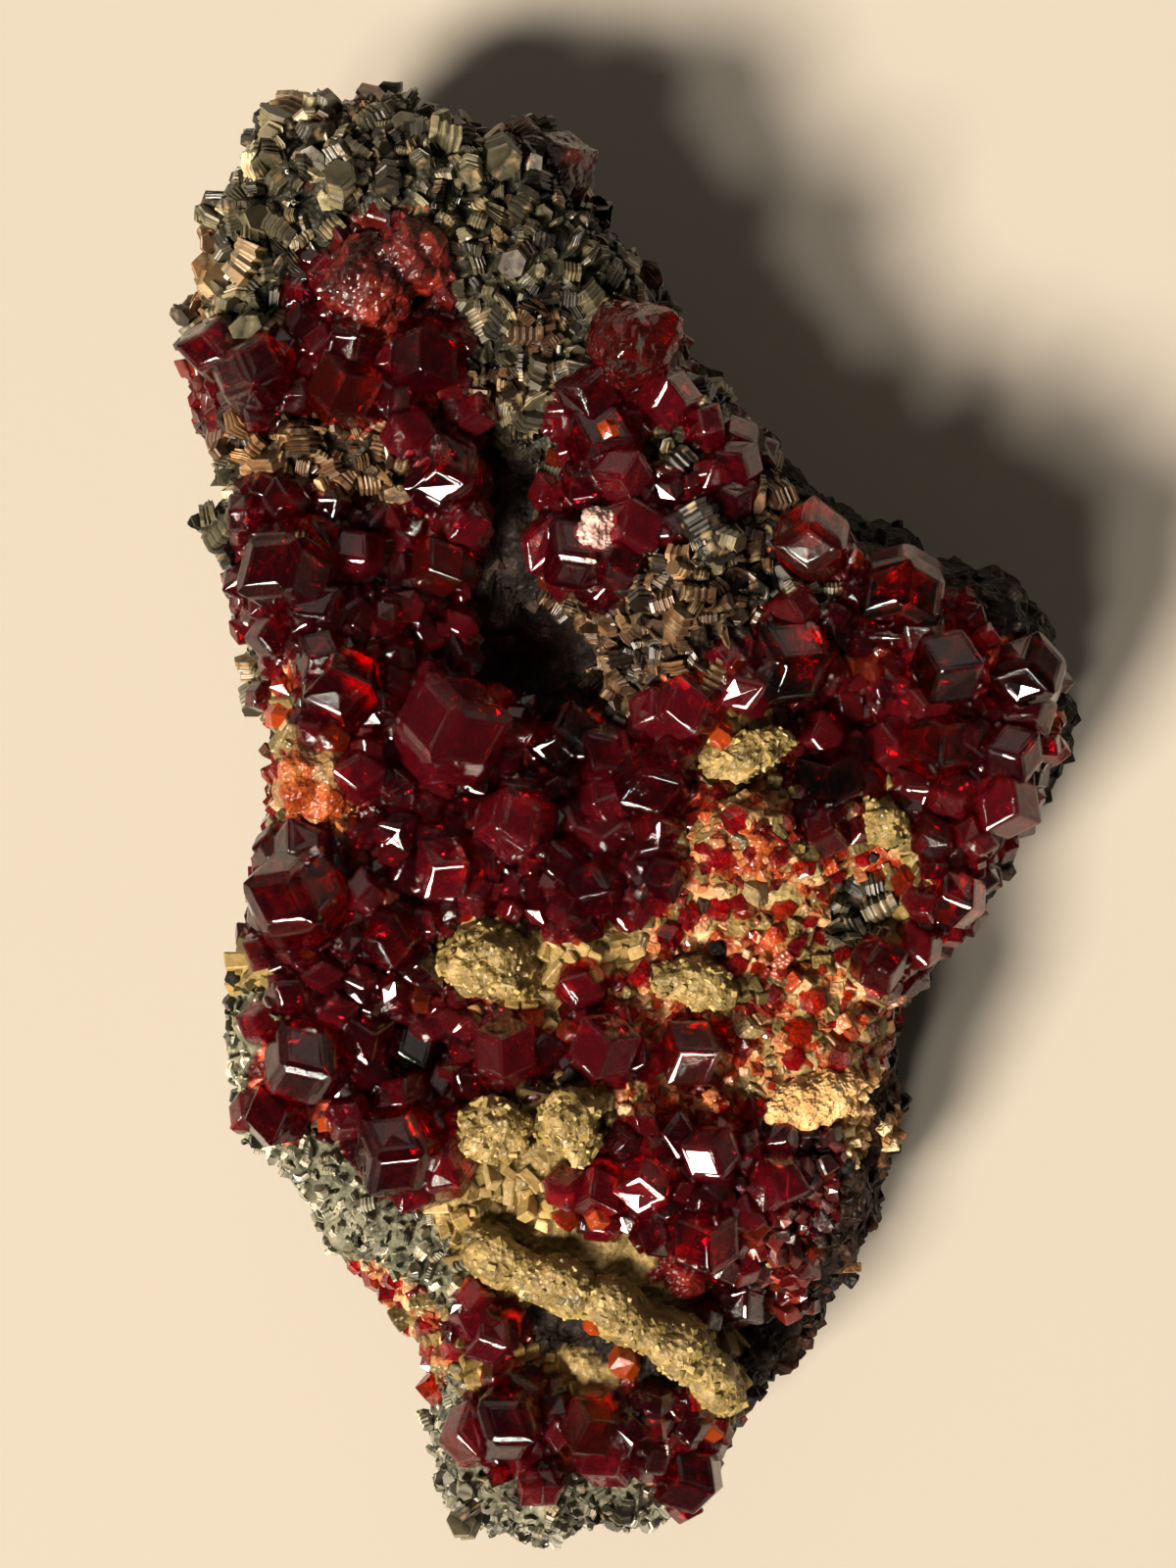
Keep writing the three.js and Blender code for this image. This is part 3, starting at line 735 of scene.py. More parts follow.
@dataclass(frozen=True)
class ClearGarnet:
    """Hessonite garnet, grown free: glassy flat faces, faint growth rings, red inside."""

    name: str
    body: Color  # what a long way through the crystal lets pass
    density: float  # absorption for each metre
    tint: str  # colour of the faint cloud inside, and of the glass in a thin splinter
    cloud: float  # share of the light that the cloud scatters
    roughness: float = 0.04
    rings: float = 7.0  # growth rings from the middle of a face to its corner
    relief_mm: float = 0.02

    def build(self) -> bpy.types.Material:
        """Makes the material.

        Returns:
            A clear material whose red comes from absorption inside it.
        """
        material, tree, output = new_material(self.name)
        face_map = add_node(tree, "ShaderNodeUVMap", {"uv_map": "growth"})
        split = add_node(tree, "ShaderNodeSeparateXYZ", sockets={0: face_map.outputs["UV"]})
        sides = [
            add_node(tree, "ShaderNodeMath", {"operation": "ABSOLUTE"}, {0: split.outputs[axis]})
            for axis in ("X", "Y")
        ]
        reach = add_node(tree, "ShaderNodeMath", {"operation": "ADD"}, {
            number: side.outputs[0] for number, side in enumerate(sides)
        })
        count = add_node(tree, "ShaderNodeMath", {"operation": "MULTIPLY"}, {
            0: reach.outputs[0],
            1: self.rings,
        })
        ring = add_node(tree, "ShaderNodeMath", {"operation": "FRACT"}, {0: count.outputs[0]})
        bump = add_node(tree, "ShaderNodeBump", sockets={
            "Strength": 0.2,
            "Distance": self.relief_mm * MM,
            "Height": ring.outputs[0],
        })
        glass = add_node(tree, "ShaderNodeBsdfPrincipled", sockets={
            "Base Color": linear(self.tint),
            "Roughness": self.roughness,
            "IOR": 1.74,
            "Transmission Weight": 1.0 - self.cloud,
            "Normal": bump.outputs["Normal"],
        })
        inside = add_node(tree, "ShaderNodeVolumeAbsorption", sockets={
            "Color": self.body,
            "Density": self.density,
        })
        tree.links.new(glass.outputs["BSDF"], output.inputs["Surface"])
        tree.links.new(inside.outputs["Volume"], output.inputs["Volume"])
        return material


@dataclass(frozen=True)
class GrainyStone:
    """A stone with grain: colour from the tint of each place, mottled, with fine relief."""

    name: str
    grain_mm: float
    relief_mm: float
    dark: float = 0.45  # how dark the darkest mottling is
    clear: float = 0.0  # share of light that passes into the grains
    coat: float = 0.0
    specular: float = 0.5
    leaf_shade_lines: float = 0.0  # painted shade and highlight: dark lines across the stack of a book, with lighter leaves between them
    stain: str = ""  # colour of a thin film that lies here and there
    stain_from: float = 0.55  # how rare the film is

    def build(self) -> bpy.types.Material:
        """Makes the material.

        Returns:
            A material that reads the tint attribute.
        """
        material, tree, output = new_material(self.name)
        place = add_node(tree, "ShaderNodeTexCoord")
        tint = add_node(tree, "ShaderNodeAttribute", {"attribute_name": "tint"})
        mottle = add_node(tree, "ShaderNodeTexNoise", sockets={
            "Vector": place.outputs["Object"],
            "Scale": 1 / (3 * self.grain_mm * MM),
            "Detail": 5.0,
            "Roughness": 0.65,
        })
        shade = add_node(tree, "ShaderNodeMapRange", sockets={
            "Value": mottle.outputs["Fac"],
            "From Min": 0.3,
            "From Max": 0.7,
            "To Min": self.dark,
            "To Max": 1.3,
        })
        amount = shade.outputs["Result"]
        grain = add_node(tree, "ShaderNodeTexVoronoi", sockets={
            "Vector": place.outputs["Object"],
            "Scale": 1 / (self.grain_mm * MM),
        })
        height = grain.outputs["Distance"]
        if self.leaf_shade_lines:
            height = self.leaves(tree)
            # painted shade and highlight: the colour is darkened to 0.4 in the lines between the
            # leaves and lightened to 1.2 on them
            amount = add_node(tree, "ShaderNodeMath", {"operation": "MULTIPLY"}, {
                0: amount,
                1: add_node(tree, "ShaderNodeMapRange", sockets={
                    "Value": height,
                    "To Min": 0.4,
                    "To Max": 1.2,
                }).outputs["Result"],
            }).outputs[0]
        base = tint.outputs["Color"]
        if self.stain:
            base = self.stained(tree, place, base)
        color = add_node(tree, "ShaderNodeVectorMath", {"operation": "SCALE"}, {
            0: base,
            "Scale": amount,
        })
        uneven = add_node(tree, "ShaderNodeMapRange", sockets={
            "Value": grain.outputs["Color"],
            "To Min": 0.6,
            "To Max": 1.3,
        })
        gloss = add_node(tree, "ShaderNodeMath", {"operation": "MULTIPLY", "use_clamp": True}, {
            0: uneven.outputs["Result"],
            1: tint.outputs["Alpha"],
        })
        bump = add_node(tree, "ShaderNodeBump", sockets={
            "Strength": 0.8,
            "Distance": self.relief_mm * MM,
            "Height": height,
        })
        stone = add_node(tree, "ShaderNodeBsdfPrincipled", sockets={
            "Base Color": color.outputs[0],
            "Roughness": gloss.outputs[0],
            "IOR": 1.6,
            "Specular IOR Level": self.specular,
            "Transmission Weight": self.clear,
            "Coat Weight": self.coat,
            "Coat Roughness": 0.2,
            "Normal": bump.outputs["Normal"],
        })
        tree.links.new(stone.outputs["BSDF"], output.inputs["Surface"])
        return material

    def stained(
        self,
        tree: bpy.types.NodeTree,
        place: bpy.types.Node,
        color: bpy.types.NodeSocket,
    ) -> bpy.types.NodeSocket:
        """Lays the film over the colour in small blotches.

        Args:
            tree: Node tree of the material.
            place: Texture coordinate node.
            color: Colour under the film.

        Returns:
            The colour with its film.
        """
        blotch = add_node(tree, "ShaderNodeTexNoise", sockets={
            "Vector": place.outputs["Object"],
            "Scale": 1 / (1.4 * MM),
            "Detail": 4.0,
        })
        amount = add_node(tree, "ShaderNodeMapRange", sockets={
            "Value": blotch.outputs["Fac"],
            "From Min": self.stain_from,
            "From Max": self.stain_from + 0.12,
            "To Max": 0.8,
        })
        film = add_node(tree, "ShaderNodeMix", {"data_type": "RGBA"}, {
            0: amount.outputs["Result"],
            6: color,
            7: linear(self.stain),
        })
        return film.outputs[2]

    def leaves(self, tree: bpy.types.NodeTree) -> bpy.types.NodeSocket:
        """Adds the ribs of a book, from its own map of height along the stack.

        Args:
            tree: Node tree of the material.

        Returns:
            Height of the surface: low between two leaves.
        """
        stack = add_node(tree, "ShaderNodeUVMap", {"uv_map": "growth"})
        split = add_node(tree, "ShaderNodeSeparateXYZ", sockets={0: stack.outputs["UV"]})
        count = add_node(tree, "ShaderNodeMath", {"operation": "MULTIPLY"}, {
            0: split.outputs["Y"],
            1: self.leaf_shade_lines,
        })
        within = add_node(tree, "ShaderNodeMath", {"operation": "PINGPONG"}, {
            0: count.outputs[0],
            1: 1.0,
        })
        return add_node(tree, "ShaderNodeMath", {"operation": "POWER"}, {
            0: within.outputs[0],
            1: 0.6,
        }).outputs[0]


WINE_RED: Color = (0.96, 0.03, 0.3, 1)
CRIMSON_RED: Color = (0.98, 0.05, 0.24, 1)


class Finish(Enum):
    """All finishes of the specimen: the stone that each is, and what it gives the eye."""

    # dark wine red, nearly black through the middle, with glassy faces and sharp glints
    WINE = ClearGarnet("hessonite_wine", WINE_RED, 620, "ea3058", 0.01)
    # clearer crimson: light comes back from the painted pale backing behind the crystal
    CRIMSON = ClearGarnet("hessonite_crimson", CRIMSON_RED, 300, "f83854", 0.04)
    # painted shade: almost black glass for the crystals on the shaded wing and in the hollow, with
    # red only in its thin edges
    DEEP_PAINTED_SHADE = ClearGarnet("hessonite_deep_painted_shade", WINE_RED, 1500, "d02448", 0.0)
    # warm orange red, glowing where the sun shines through
    EMBER = ClearGarnet("hessonite_ember", (0.98, 0.12, 0.08, 1), 560, "f84430", 0.02)
    # cloudy brownish red with a satin surface
    RUST = ClearGarnet("hessonite_rust", (0.96, 0.07, 0.1, 1), 900, "c03c34", 0.03, 0.1)
    # the carpet of small crystals: as dark as the large ones although they are thin
    SMALL_WINE = ClearGarnet("hessonite_wine_small", WINE_RED, 1900, "ea3450", 0.01, 0.08)
    # small raspberry red crystals that lighten the carpet
    SMALL_CRIMSON = ClearGarnet("hessonite_crimson_small", CRIMSON_RED, 1200, "f8384a", 0.04, 0.08)
    # single bright orange sparks: orange garnet whose large cloudy share paints the glow of light
    # inside it
    SPARK = ClearGarnet("hessonite_orange_painted_glow", (0.99, 0.50, 0.06, 1), 700, "ff6a26", 0.25, 0.1)
    # small orange red crystals in the peach stone
    SMALL_EMBER = ClearGarnet(
        "hessonite_ember_small", (0.99, 0.3, 0.06, 1), 1000, "ff5824", 0.06, 0.1,
    )
    # rough, greasy dark red mass without faces
    MASSIVE = GrainyStone("hessonite_massive", 0.8, 0.12, 0.5, clear=0.3, coat=0.15)
    # dull, dark stone with brown weathering film in blotches
    ROCK = GrainyStone(
        "chlorite_garnet_rock", 0.5, 0.2, specular=0.15, stain="5c4630", stain_from=0.66,
    )
    # silky grey green leaves with painted shade in the dark lines between them, lighter leaves,
    # and tan film on some
    CHLORITE = GrainyStone(
        "clinochlore", 0.5, 0.06, 0.5, coat=0.12, leaf_shade_lines=20, stain="a48e68", stain_from=0.55,
    )
    # olive, half clear and finely broken, with a weak shine
    DIOPSIDE = GrainyStone("granular_diopside", 0.4, 0.16, 0.55, clear=0.2, specular=0.4)
    # its loose grains: flat olive to straw, duller than the mass under them
    SUGAR = GrainyStone("diopside_sugar", 0.4, 0.06, 0.8, clear=0.1, specular=0.3)
    # pale powder without any shine
    CRUST = GrainyStone("powdery_crust", 0.35, 0.3, 0.5)


Materials = dict[Finish, bpy.types.Material]


# ---------------------------------------------------------------------------- small shapes


MAIN_FACE = 0.35  # a face of a garnet one unit in size gets a growth step from this area on
STEP_WIDTH, STEP_RISE = 0.12, 0.02  # of that growth step
BOOK_SIDES = 6
BOOK_RADIUS = 0.9  # of the first leaf
LEAF, GROOVE = 0.7, 0.3  # shares of a leaf and of the groove over it
GROOVE_WIDTH = 0.8  # how wide a groove's floor is, where a leaf is one
LEAF_SIZES = (0.86, 1.16)  # how much the next leaf may differ
FAN_CENTER = (0, -1.6, 0)  # a fanned book bends about this place
LEAF_MAP = 0.2  # one leaf's height on the map, the same in every book
GRAIN_WIDTH = 1.5
GRAIN_BEVEL = 0.16
GRAIN_UNEVEN = 0.3  # how far a grain's corners may be off, as a share
FACES_UP = 0.9  # a face that looks up more than this is the top


def garnet_shape(bevel: float, steps: int) -> Shape:
    """Models a garnet: a cube whose faces are raised to the twelve-faced form.

    Args:
        bevel: Width of the beveled edges, for a crystal one unit in size.
        steps: Number of raised growth steps on each face.

    Returns:
        A crystal whose main faces are about one unit from its middle.
    """
    bpy.ops.mesh.primitive_cube_add(size=math.sqrt(2))
    piece = bpy.context.object
    with edit_mode():
        bpy.ops.mesh.poke(offset=math.sqrt(0.5))
        bpy.ops.mesh.select_all(action="SELECT")
        bpy.ops.mesh.dissolve_limited(angle_limit=math.radians(2))
        if bevel:
            bpy.ops.mesh.select_mode(type="EDGE")
            bpy.ops.mesh.select_all(action="SELECT")
            bpy.ops.mesh.bevel(offset=bevel, offset_type="OFFSET", segments=1)
        for _ in range(steps):
            select_faces(piece, lambda face: face.area > MAIN_FACE and len(face.vertices) == 4)
            bpy.ops.mesh.inset(thickness=STEP_WIDTH, depth=STEP_RISE, use_individual=True)
    return shape_from(piece)


def book_shape(leaves: int, fan: float, drift: float, source: np.random.Generator) -> Shape:
    """Models a chlorite book: a stack of six-sided leaves with grooves between them.

    Args:
        leaves: Number of leaves.
        fan: How far the whole stack bends, in degrees.
        drift: How far each leaf may slip, for a book one unit in size.
        source: Source of the small differences between leaves.

    Returns:
        A book of radius one and length two along Z, mapped by its height.
    """
    pitch = 2.0 / leaves
    bpy.ops.mesh.primitive_cylinder_add(
        vertices=BOOK_SIDES,
        radius=BOOK_RADIUS,
        depth=LEAF * pitch,
        location=(0, 0, LEAF / 2 * pitch - 1),
    )
    piece = bpy.context.object
    rings = [0.0, LEAF * LEAF_MAP]
    with edit_mode():
        select_faces(piece, lambda face: face.normal.z > FACES_UP)
        for leaf in range(1, leaves):
            slip = source.uniform(-drift, drift, 2)
            for move in ((slip[0], slip[1], GROOVE * pitch), (0, 0, LEAF * pitch)):
                bpy.ops.mesh.extrude_region_move(TRANSFORM_OT_translate={"value": move})
            size = source.uniform(*LEAF_SIZES)
            bpy.ops.transform.resize(value=(size, size, 1))
            bpy.ops.transform.rotate(
                value=math.radians(fan / leaves), orient_axis="X", center_override=FAN_CENTER,
            )
            rings += [LEAF_MAP * (leaf + GROOVE), LEAF_MAP * (leaf + 1.0)]
    mesh = piece.data
    places = positions(mesh)
    for ring in range(2, len(rings), 2):
        own = slice(ring * BOOK_SIDES, (ring + 1) * BOOK_SIDES)
        middle = places[own].mean(axis=0)
        places[own] = middle + (places[own] - middle) * GROOVE_WIDTH
    set_positions(mesh, places - places.mean(axis=0))
    layer = mesh.uv_layers.new(name="growth")
    for face in mesh.polygons:
        for loop, vertex in zip(face.loop_indices, face.vertices):
            layer.data[loop].uv = (0.5, rings[vertex // BOOK_SIDES])
    return shape_from(piece)


def grain_shape(stretch: float, source: np.random.Generator) -> Shape:
    """Models a blocky mineral grain: a beveled cube with uneven corners.

    Args:
        stretch: Length over width.
        source: Source of the uneven corners.

    Returns:
        A grain about two units across.
    """
    bpy.ops.mesh.primitive_cube_add(size=GRAIN_WIDTH)
    piece = bpy.context.object
    places = positions(piece.data)
    places *= 1 + source.uniform(-GRAIN_UNEVEN, GRAIN_UNEVEN, places.shape)
    places[:, 2] *= stretch
    set_positions(piece.data, places)
    with edit_mode():
        bpy.ops.mesh.bevel(offset=GRAIN_BEVEL, offset_type="OFFSET", segments=1)
    return shape_from(piece)


# ----------------------------------------------------------------------------- the rock


SEARCH_REACH = 1.5  # size of the oval about a crystal where its own ground is looked for
CLEAR_REACH = 0.96  # size of the oval under a large piece where nothing small grows
CELL_KEY = 1000  # more cells than lie side by side on the rock


def within(points: np.ndarray, node: str, reach: float) -> np.ndarray:
    """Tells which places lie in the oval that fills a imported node's box.

    Args:
        points: Places in millimetres.
        node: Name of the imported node.
        reach: Size of the oval, where one just touches the sides of the box.

    Returns:
        True for each place inside.
    """
    low, high = (np.array(corner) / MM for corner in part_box(node))
    away = (points - (low + high) / 2) / ((high - low) / 2)
    return (away ** 2).sum(axis=1) < reach ** 2


def behind_crystal(points: np.ndarray, node: str, margin: float) -> np.ndarray:
    """Tells which places lie in a packed crystal, or just outside its faces.

    Args:
        points: Places in millimetres.
        node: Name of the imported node.
        margin: How far outside still counts, in millimetres.

    Returns:
        True for each such place.
    """
    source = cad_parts[node]
    corners = [source.matrix_world @ vertex.co / MM for vertex in source.data.vertices]
    tree = BVHTree.FromPolygons(corners, [tuple(face.vertices) for face in source.data.polygons])
    chosen = within(points, node, SEARCH_REACH)
    for index in np.flatnonzero(chosen):
        spot = Vector(points[index])
        nearest, normal, _, away = tree.find_nearest(spot)
        chosen[index] = away < margin or (spot - nearest).dot(normal) < 0
    return chosen


@dataclass
class Rock:
    """The rock that everything stands on: one broken piece with a flat sole."""

    materials: Materials
    crystals: Sequence[str]  # the clear ones, behind which a pale backing of painted light lies
    node: str = "matrix_rock"
    grid_mm: float = 0.5
    mix_mm: float = 1.9  # width of the minerals that are grown through each other
    grain_mm: float = 1.2
    glow_backing_mm: float = 0.35  # how far the painted pale backing reaches around its crystal
    relief: tuple[Relief, ...] = (
        Relief(5.0, 0.7, blocks=False), Relief(4.5, 2.4), Relief(1.7, 1.0),
    )

    def build(self) -> bpy.types.Object:
        """Makes the rock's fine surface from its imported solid.

        Returns:
            The finished rock.
        """
        piece = copy_of_node(self.node, "rock_surface")
        apply_modifier(piece, "REMESH", mode="VOXEL", voxel_size=self.grid_mm * MM)
        found = minerals_at(positions(piece.data) / MM, vertex_normals(piece.data))
        roughen(piece, self.relief, keep_sole=True)
        places = positions(piece.data) / MM
        blocks = grown_blocks(places, self.mix_mm)[1]
        looks: list[GroundLook] = []
        which = np.zeros(len(places), dtype=int)
        for mineral, mix in GROUND_LOOKS.items():
            own = found == mineral.value
            which[own] = len(looks) + (blocks[own] * len(mix)).astype(int)
            looks += mix
        color, roughness = tints_of(shares(places, self.grain_mm), looks, which)
        # painted light: the rock right behind each clear crystal is made pale, so that light comes
        # back through the crystal as a glow
        for node in self.crystals:
            color[behind_crystal(places, node, self.glow_backing_mm)] = linear(GLOW_BACKING_COLOR)[:3]
        store_tint(piece.data, color, roughness)
        settle(piece, [self.materials[Finish.ROCK]], self.node)
        return piece


@dataclass(frozen=True)
class Coat:
    """How small pieces cover some minerals: sizes in millimetres, colours and shares."""

    name: str
    minerals: tuple[Mineral, ...]
    spacing: float  # least distance between two pieces
    tries: int  # number of places that are tried
    radius: tuple[float, float]
    lift: tuple[float, float]  # how far the middle of a piece is above the ground, in radii
    colors: tuple[str, ...] = ()
    shares: tuple[float, ...] = ()  # how often each colour comes
    slot: str = ""
    finish: Finish = Finish.CHLORITE
    roughness: float = 0.4
    steepest: float = -1.0  # least rise of the ground's direction, where one is straight up

    def palette(self) -> np.ndarray:
        """Returns the linear colours, one in each row."""
        return np.array([linear(color)[:3] for color in self.colors])

    def swarm(self, kind: str, materials: Materials) -> Swarm:
        """Returns the empty swarm that this coat fills, named after its kind."""
        return Swarm(f"{kind}_{self.name}", self.slot, [materials[self.finish]], self.roughness)

    def radii(self, count: int, source: np.random.Generator, crowd: float) -> np.ndarray:
        """Draws sizes, with more small pieces than large ones.

        Args:
            count: Number of pieces.
            source: Source of the draws.
            crowd: How strongly the small ones prevail, where one is not at all.

        Returns:
            A radius for each piece, in millimetres.
        """
        low, high = self.radius
        return low + (high - low) * source.random(count) ** crowd


@dataclass
class Ground:
    """Places on the rock where small things can stand."""

    rocks: dict[str, bpy.types.Object]  # pieces to stand on, by the node that each stands for
    source: np.random.Generator
    keep_clear: Sequence[str] = ()  # large pieces, under which nothing small grows
    own_minerals: dict[str, Mineral] = field(default_factory=dict)  # pieces of one mineral
    floor_gap: float = 2.4  # nothing small stands lower than this
    overhang: float = -0.5  # nothing small hangs where the surface looks down more than this
    cell_mm: float = 3.0  # the surface's directions are averaged over cells of this width
    places: np.ndarray = field(init=False)
    normals: np.ndarray = field(init=False)
    weights: np.ndarray = field(init=False)
    minerals: np.ndarray = field(init=False)

    def __post_init__(self) -> None:
        """Reads the faces of the rocks, in millimetres, and drops those under big pieces."""
        parts = [self.read(node, rock) for node, rock in self.rocks.items()]
        self.places = np.concatenate([part[0] for part in parts])
        self.weights = np.concatenate([part[2] for part in parts])
        self.normals = self.soft_normals(np.concatenate([part[1] for part in parts]))
        self.minerals = minerals_at(self.places, self.normals)
        start = 0
        for node, part in zip(self.rocks, parts):
            if node in self.own_minerals:
                self.minerals[start:start + len(part[0])] = self.own_minerals[node].value
            start += len(part[0])
        self.weights[self.places[:, 2] < self.floor_gap] = 0
        self.weights[self.normals[:, 2] < self.overhang] = 0

    def read(self, node: str, rock: bpy.types.Object) -> tuple[np.ndarray, np.ndarray, np.ndarray]:
        """Reads one piece.

        Args:
            node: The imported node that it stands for.
            rock: The piece.

        Returns:
            Middle, direction and free area of each face.
        """
        faces = rock.data.polygons
        places = values_of(faces, "center", 3) / MM
        areas = values_of(faces, "area")
        for other in self.keep_clear:
            if other != node:
                areas[within(places, other, CLEAR_REACH)] = 0
        return places, values_of(faces, "normal", 3), areas

    def soft_normals(self, normals: np.ndarray) -> np.ndarray:
        """Averages the face directions over small cells, so that grains follow the large form.

        Args:
            normals: Direction of each face.

        Returns:
            Averaged directions.
        """
        cells = np.floor(self.places / self.cell_mm).astype(np.int64)
        keys = (cells[:, 0] * CELL_KEY + cells[:, 1]) * CELL_KEY + cells[:, 2]
        _, own = np.unique(keys, return_inverse=True)
        sums = np.zeros((own.max() + 1, 3))
        np.add.at(sums, own, normals)
        soft = sums[own]
        return soft / np.maximum(np.linalg.norm(soft, axis=1, keepdims=True), TINY)

    def pick(self, coat: Coat) -> np.ndarray:
        """Picks faces for a coat, which keep their distance from each other.

        Args:
            coat: Says on which minerals, how far apart and how steep they may be.

        Returns:
            Numbers of the chosen faces.
        """
        spacing = coat.spacing
        wanted = np.isin(self.minerals, [mineral.value for mineral in coat.minerals])
        weights = self.weights * wanted * (self.normals[:, 2] > coat.steepest)
        if weights.sum() == 0:
            return np.empty(0, dtype=int)
        drawn = self.source.choice(len(weights), size=coat.tries, p=weights / weights.sum())
        taken: dict[tuple[int, ...], list[np.ndarray]] = {}
        chosen = []
        for face in drawn.tolist():
            place = self.places[face]
            cell = tuple(np.floor(place / spacing).astype(int).tolist())
            near = (
                other
                for x in (-1, 0, 1) for y in (-1, 0, 1) for z in (-1, 0, 1)
                for other in taken.get((cell[0] + x, cell[1] + y, cell[2] + z), ())
            )
            if all(((place - other) ** 2).sum() >= spacing ** 2 for other in near):
                taken.setdefault(cell, []).append(place)
                chosen.append(face)
        return np.array(chosen, dtype=int)

    def above(self, faces: np.ndarray, lift: np.ndarray) -> np.ndarray:
        """Returns places over some faces, in millimetres.

        Args:
            faces: Numbers of the faces.
            lift: Height of each place over its face, in millimetres.
        """
        return self.places[faces] + self.normals[faces] * lift[:, None]


FULL_TURN = 6.3  # a little over a whole turn, in radians
UPRIGHT = 0.9  # an axis that rises more than this is upright
STRAYS = 0.25  # share of the grains that differ from their cluster
CLUSTER_MM = 2.4  # width of a cluster of grains of one mineral
TINT_RANGE = (0.75, 1.2)  # how dark and how light single pieces are


def turned_frames(
    places: np.ndarray,
    axes: np.ndarray,
    sizes: np.ndarray,
    source: np.random.Generator,
) -> np.ndarray:
    """Makes the matrices that place copies of a shape, each turned at random about its Z axis.

    Args:
        places: Middle of each copy, in millimetres.
        axes: Direction of each copy's Z axis.
        sizes: Three scales for each copy, in millimetres.
        source: Source of the turns.

    Returns:
        One 4 by 4 matrix for each copy, in metres.
    """
    spins = source.uniform(0, FULL_TURN, len(places))
    up = axes / np.linalg.norm(axes, axis=1, keepdims=True)
    helper = np.where(np.abs(up[:, 2:3]) < UPRIGHT, (0.0, 0.0, 1.0), (1.0, 0.0, 0.0))
    first = np.cross(helper, up)
    first /= np.linalg.norm(first, axis=1, keepdims=True)
    second = np.cross(up, first)
    cosine, sine = np.cos(spins)[:, None], np.sin(spins)[:, None]
    side = first * cosine + second * sine
    front = second * cosine - first * sine
    frames = np.zeros((len(places), 4, 4))
    frames[:, :3, 0] = side * sizes[:, 0:1] * MM
    frames[:, :3, 1] = front * sizes[:, 1:2] * MM
    frames[:, :3, 2] = up * sizes[:, 2:3] * MM
    frames[:, :3, 3] = places * MM
    frames[:, 3, 3] = 1
    return frames


def random_axes(count: int, source: np.random.Generator) -> np.ndarray:
    """Returns directions spread evenly over a sphere."""
    axes = source.normal(size=(count, 3))
    return axes / np.linalg.norm(axes, axis=1, keepdims=True)


def mixed_tints(count: int, coat: Coat, source: np.random.Generator) -> np.ndarray:
    """Draws a colour for each small piece.

    Args:
        count: Number of pieces.
        coat: Has the colours and their shares.
        source: Source of the draws.

    Returns:
        Linear colours, one row for each piece.
    """
    odds = np.array(coat.shares) / sum(coat.shares)
    tints = coat.palette()[source.choice(len(odds), count, p=odds)]
    return tints * source.uniform(*TINT_RANGE, (count, 1))


def clustered_tints(places: np.ndarray, coat: Coat, source: np.random.Generator) -> np.ndarray:
    """Draws a colour for each grain, mostly the same over a cluster of neighbours.

    Args:
        places: Places of the grains, in millimetres.
        coat: Has the colours and their shares.
        source: Source of the draws.

    Returns:
        Linear colours, one row for each grain.
    """
    palette = coat.palette()
    limits = np.cumsum(coat.shares)[:-1] / sum(coat.shares)
    own = np.digitize(grown_blocks(places, CLUSTER_MM)[1], limits)
    stray = source.random(len(places)) < STRAYS
    own = np.where(stray, source.integers(0, len(palette), len(places)), own)
    return palette[own] * source.uniform(*TINT_RANGE, (len(places), 1))


# ------------------------------------------------------------------------ large crystals


class Tone(Enum):
    """Which garnet a crystal is made of: the record's material slots."""

    WINE = "garnet_wine"
    CRIMSON = "garnet_crimson"
    EMBER = "garnet_ember"
    RUST = "garnet_rust"


@dataclass
class LargeGarnet:
    """One large garnet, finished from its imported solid."""

    node: str
    tone: Tone
    finish: bpy.types.Material
    main_share: float = 0.4  # a face gets a growth step from this share of the largest on
    step_mm: float = 0.3
    rise_mm: float = 0.035
    edge_mm: float = 0.04

    def build(self) -> bpy.types.Object:
        """Cuts growth steps into the main faces and softens the edges.

        Returns:
            The finished crystal.
        """
        piece = copy_of_node(self.node, f"{self.node}_crystal")
        with edit_mode():
            bpy.ops.mesh.dissolve_limited(angle_limit=math.radians(1))
        least = self.main_share * max(face.area for face in piece.data.polygons)
        with edit_mode():
            select_faces(piece, lambda face: face.area > least)
            bpy.ops.mesh.inset(
                thickness=self.step_mm * MM, depth=self.rise_mm * MM, use_individual=True,
            )
            bpy.ops.mesh.select_all(action="SELECT")
            bpy.ops.mesh.bevel(
                offset=self.edge_mm * MM, offset_type="OFFSET", segments=1, clamp_overlap=True,
            )
        mark_growth(piece.data)
        settle(piece, [self.finish], self.node)
        return piece


@dataclass(frozen=True)
class LumpLook:
    """What a lump of massive mineral is made of, and the relief of its surface."""

    slot: str
    finish: Finish
    looks: tuple[GroundLook, ...]
    relief: tuple[Relief, ...] = (Relief(2.6, 1.5), Relief(1.1, 0.45), Relief(0.55, 0.12))
    smooth_rounds: int = 0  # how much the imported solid's knobs are rounded off
    swell_mm: float = 0.0  # what the rounding takes away is added again


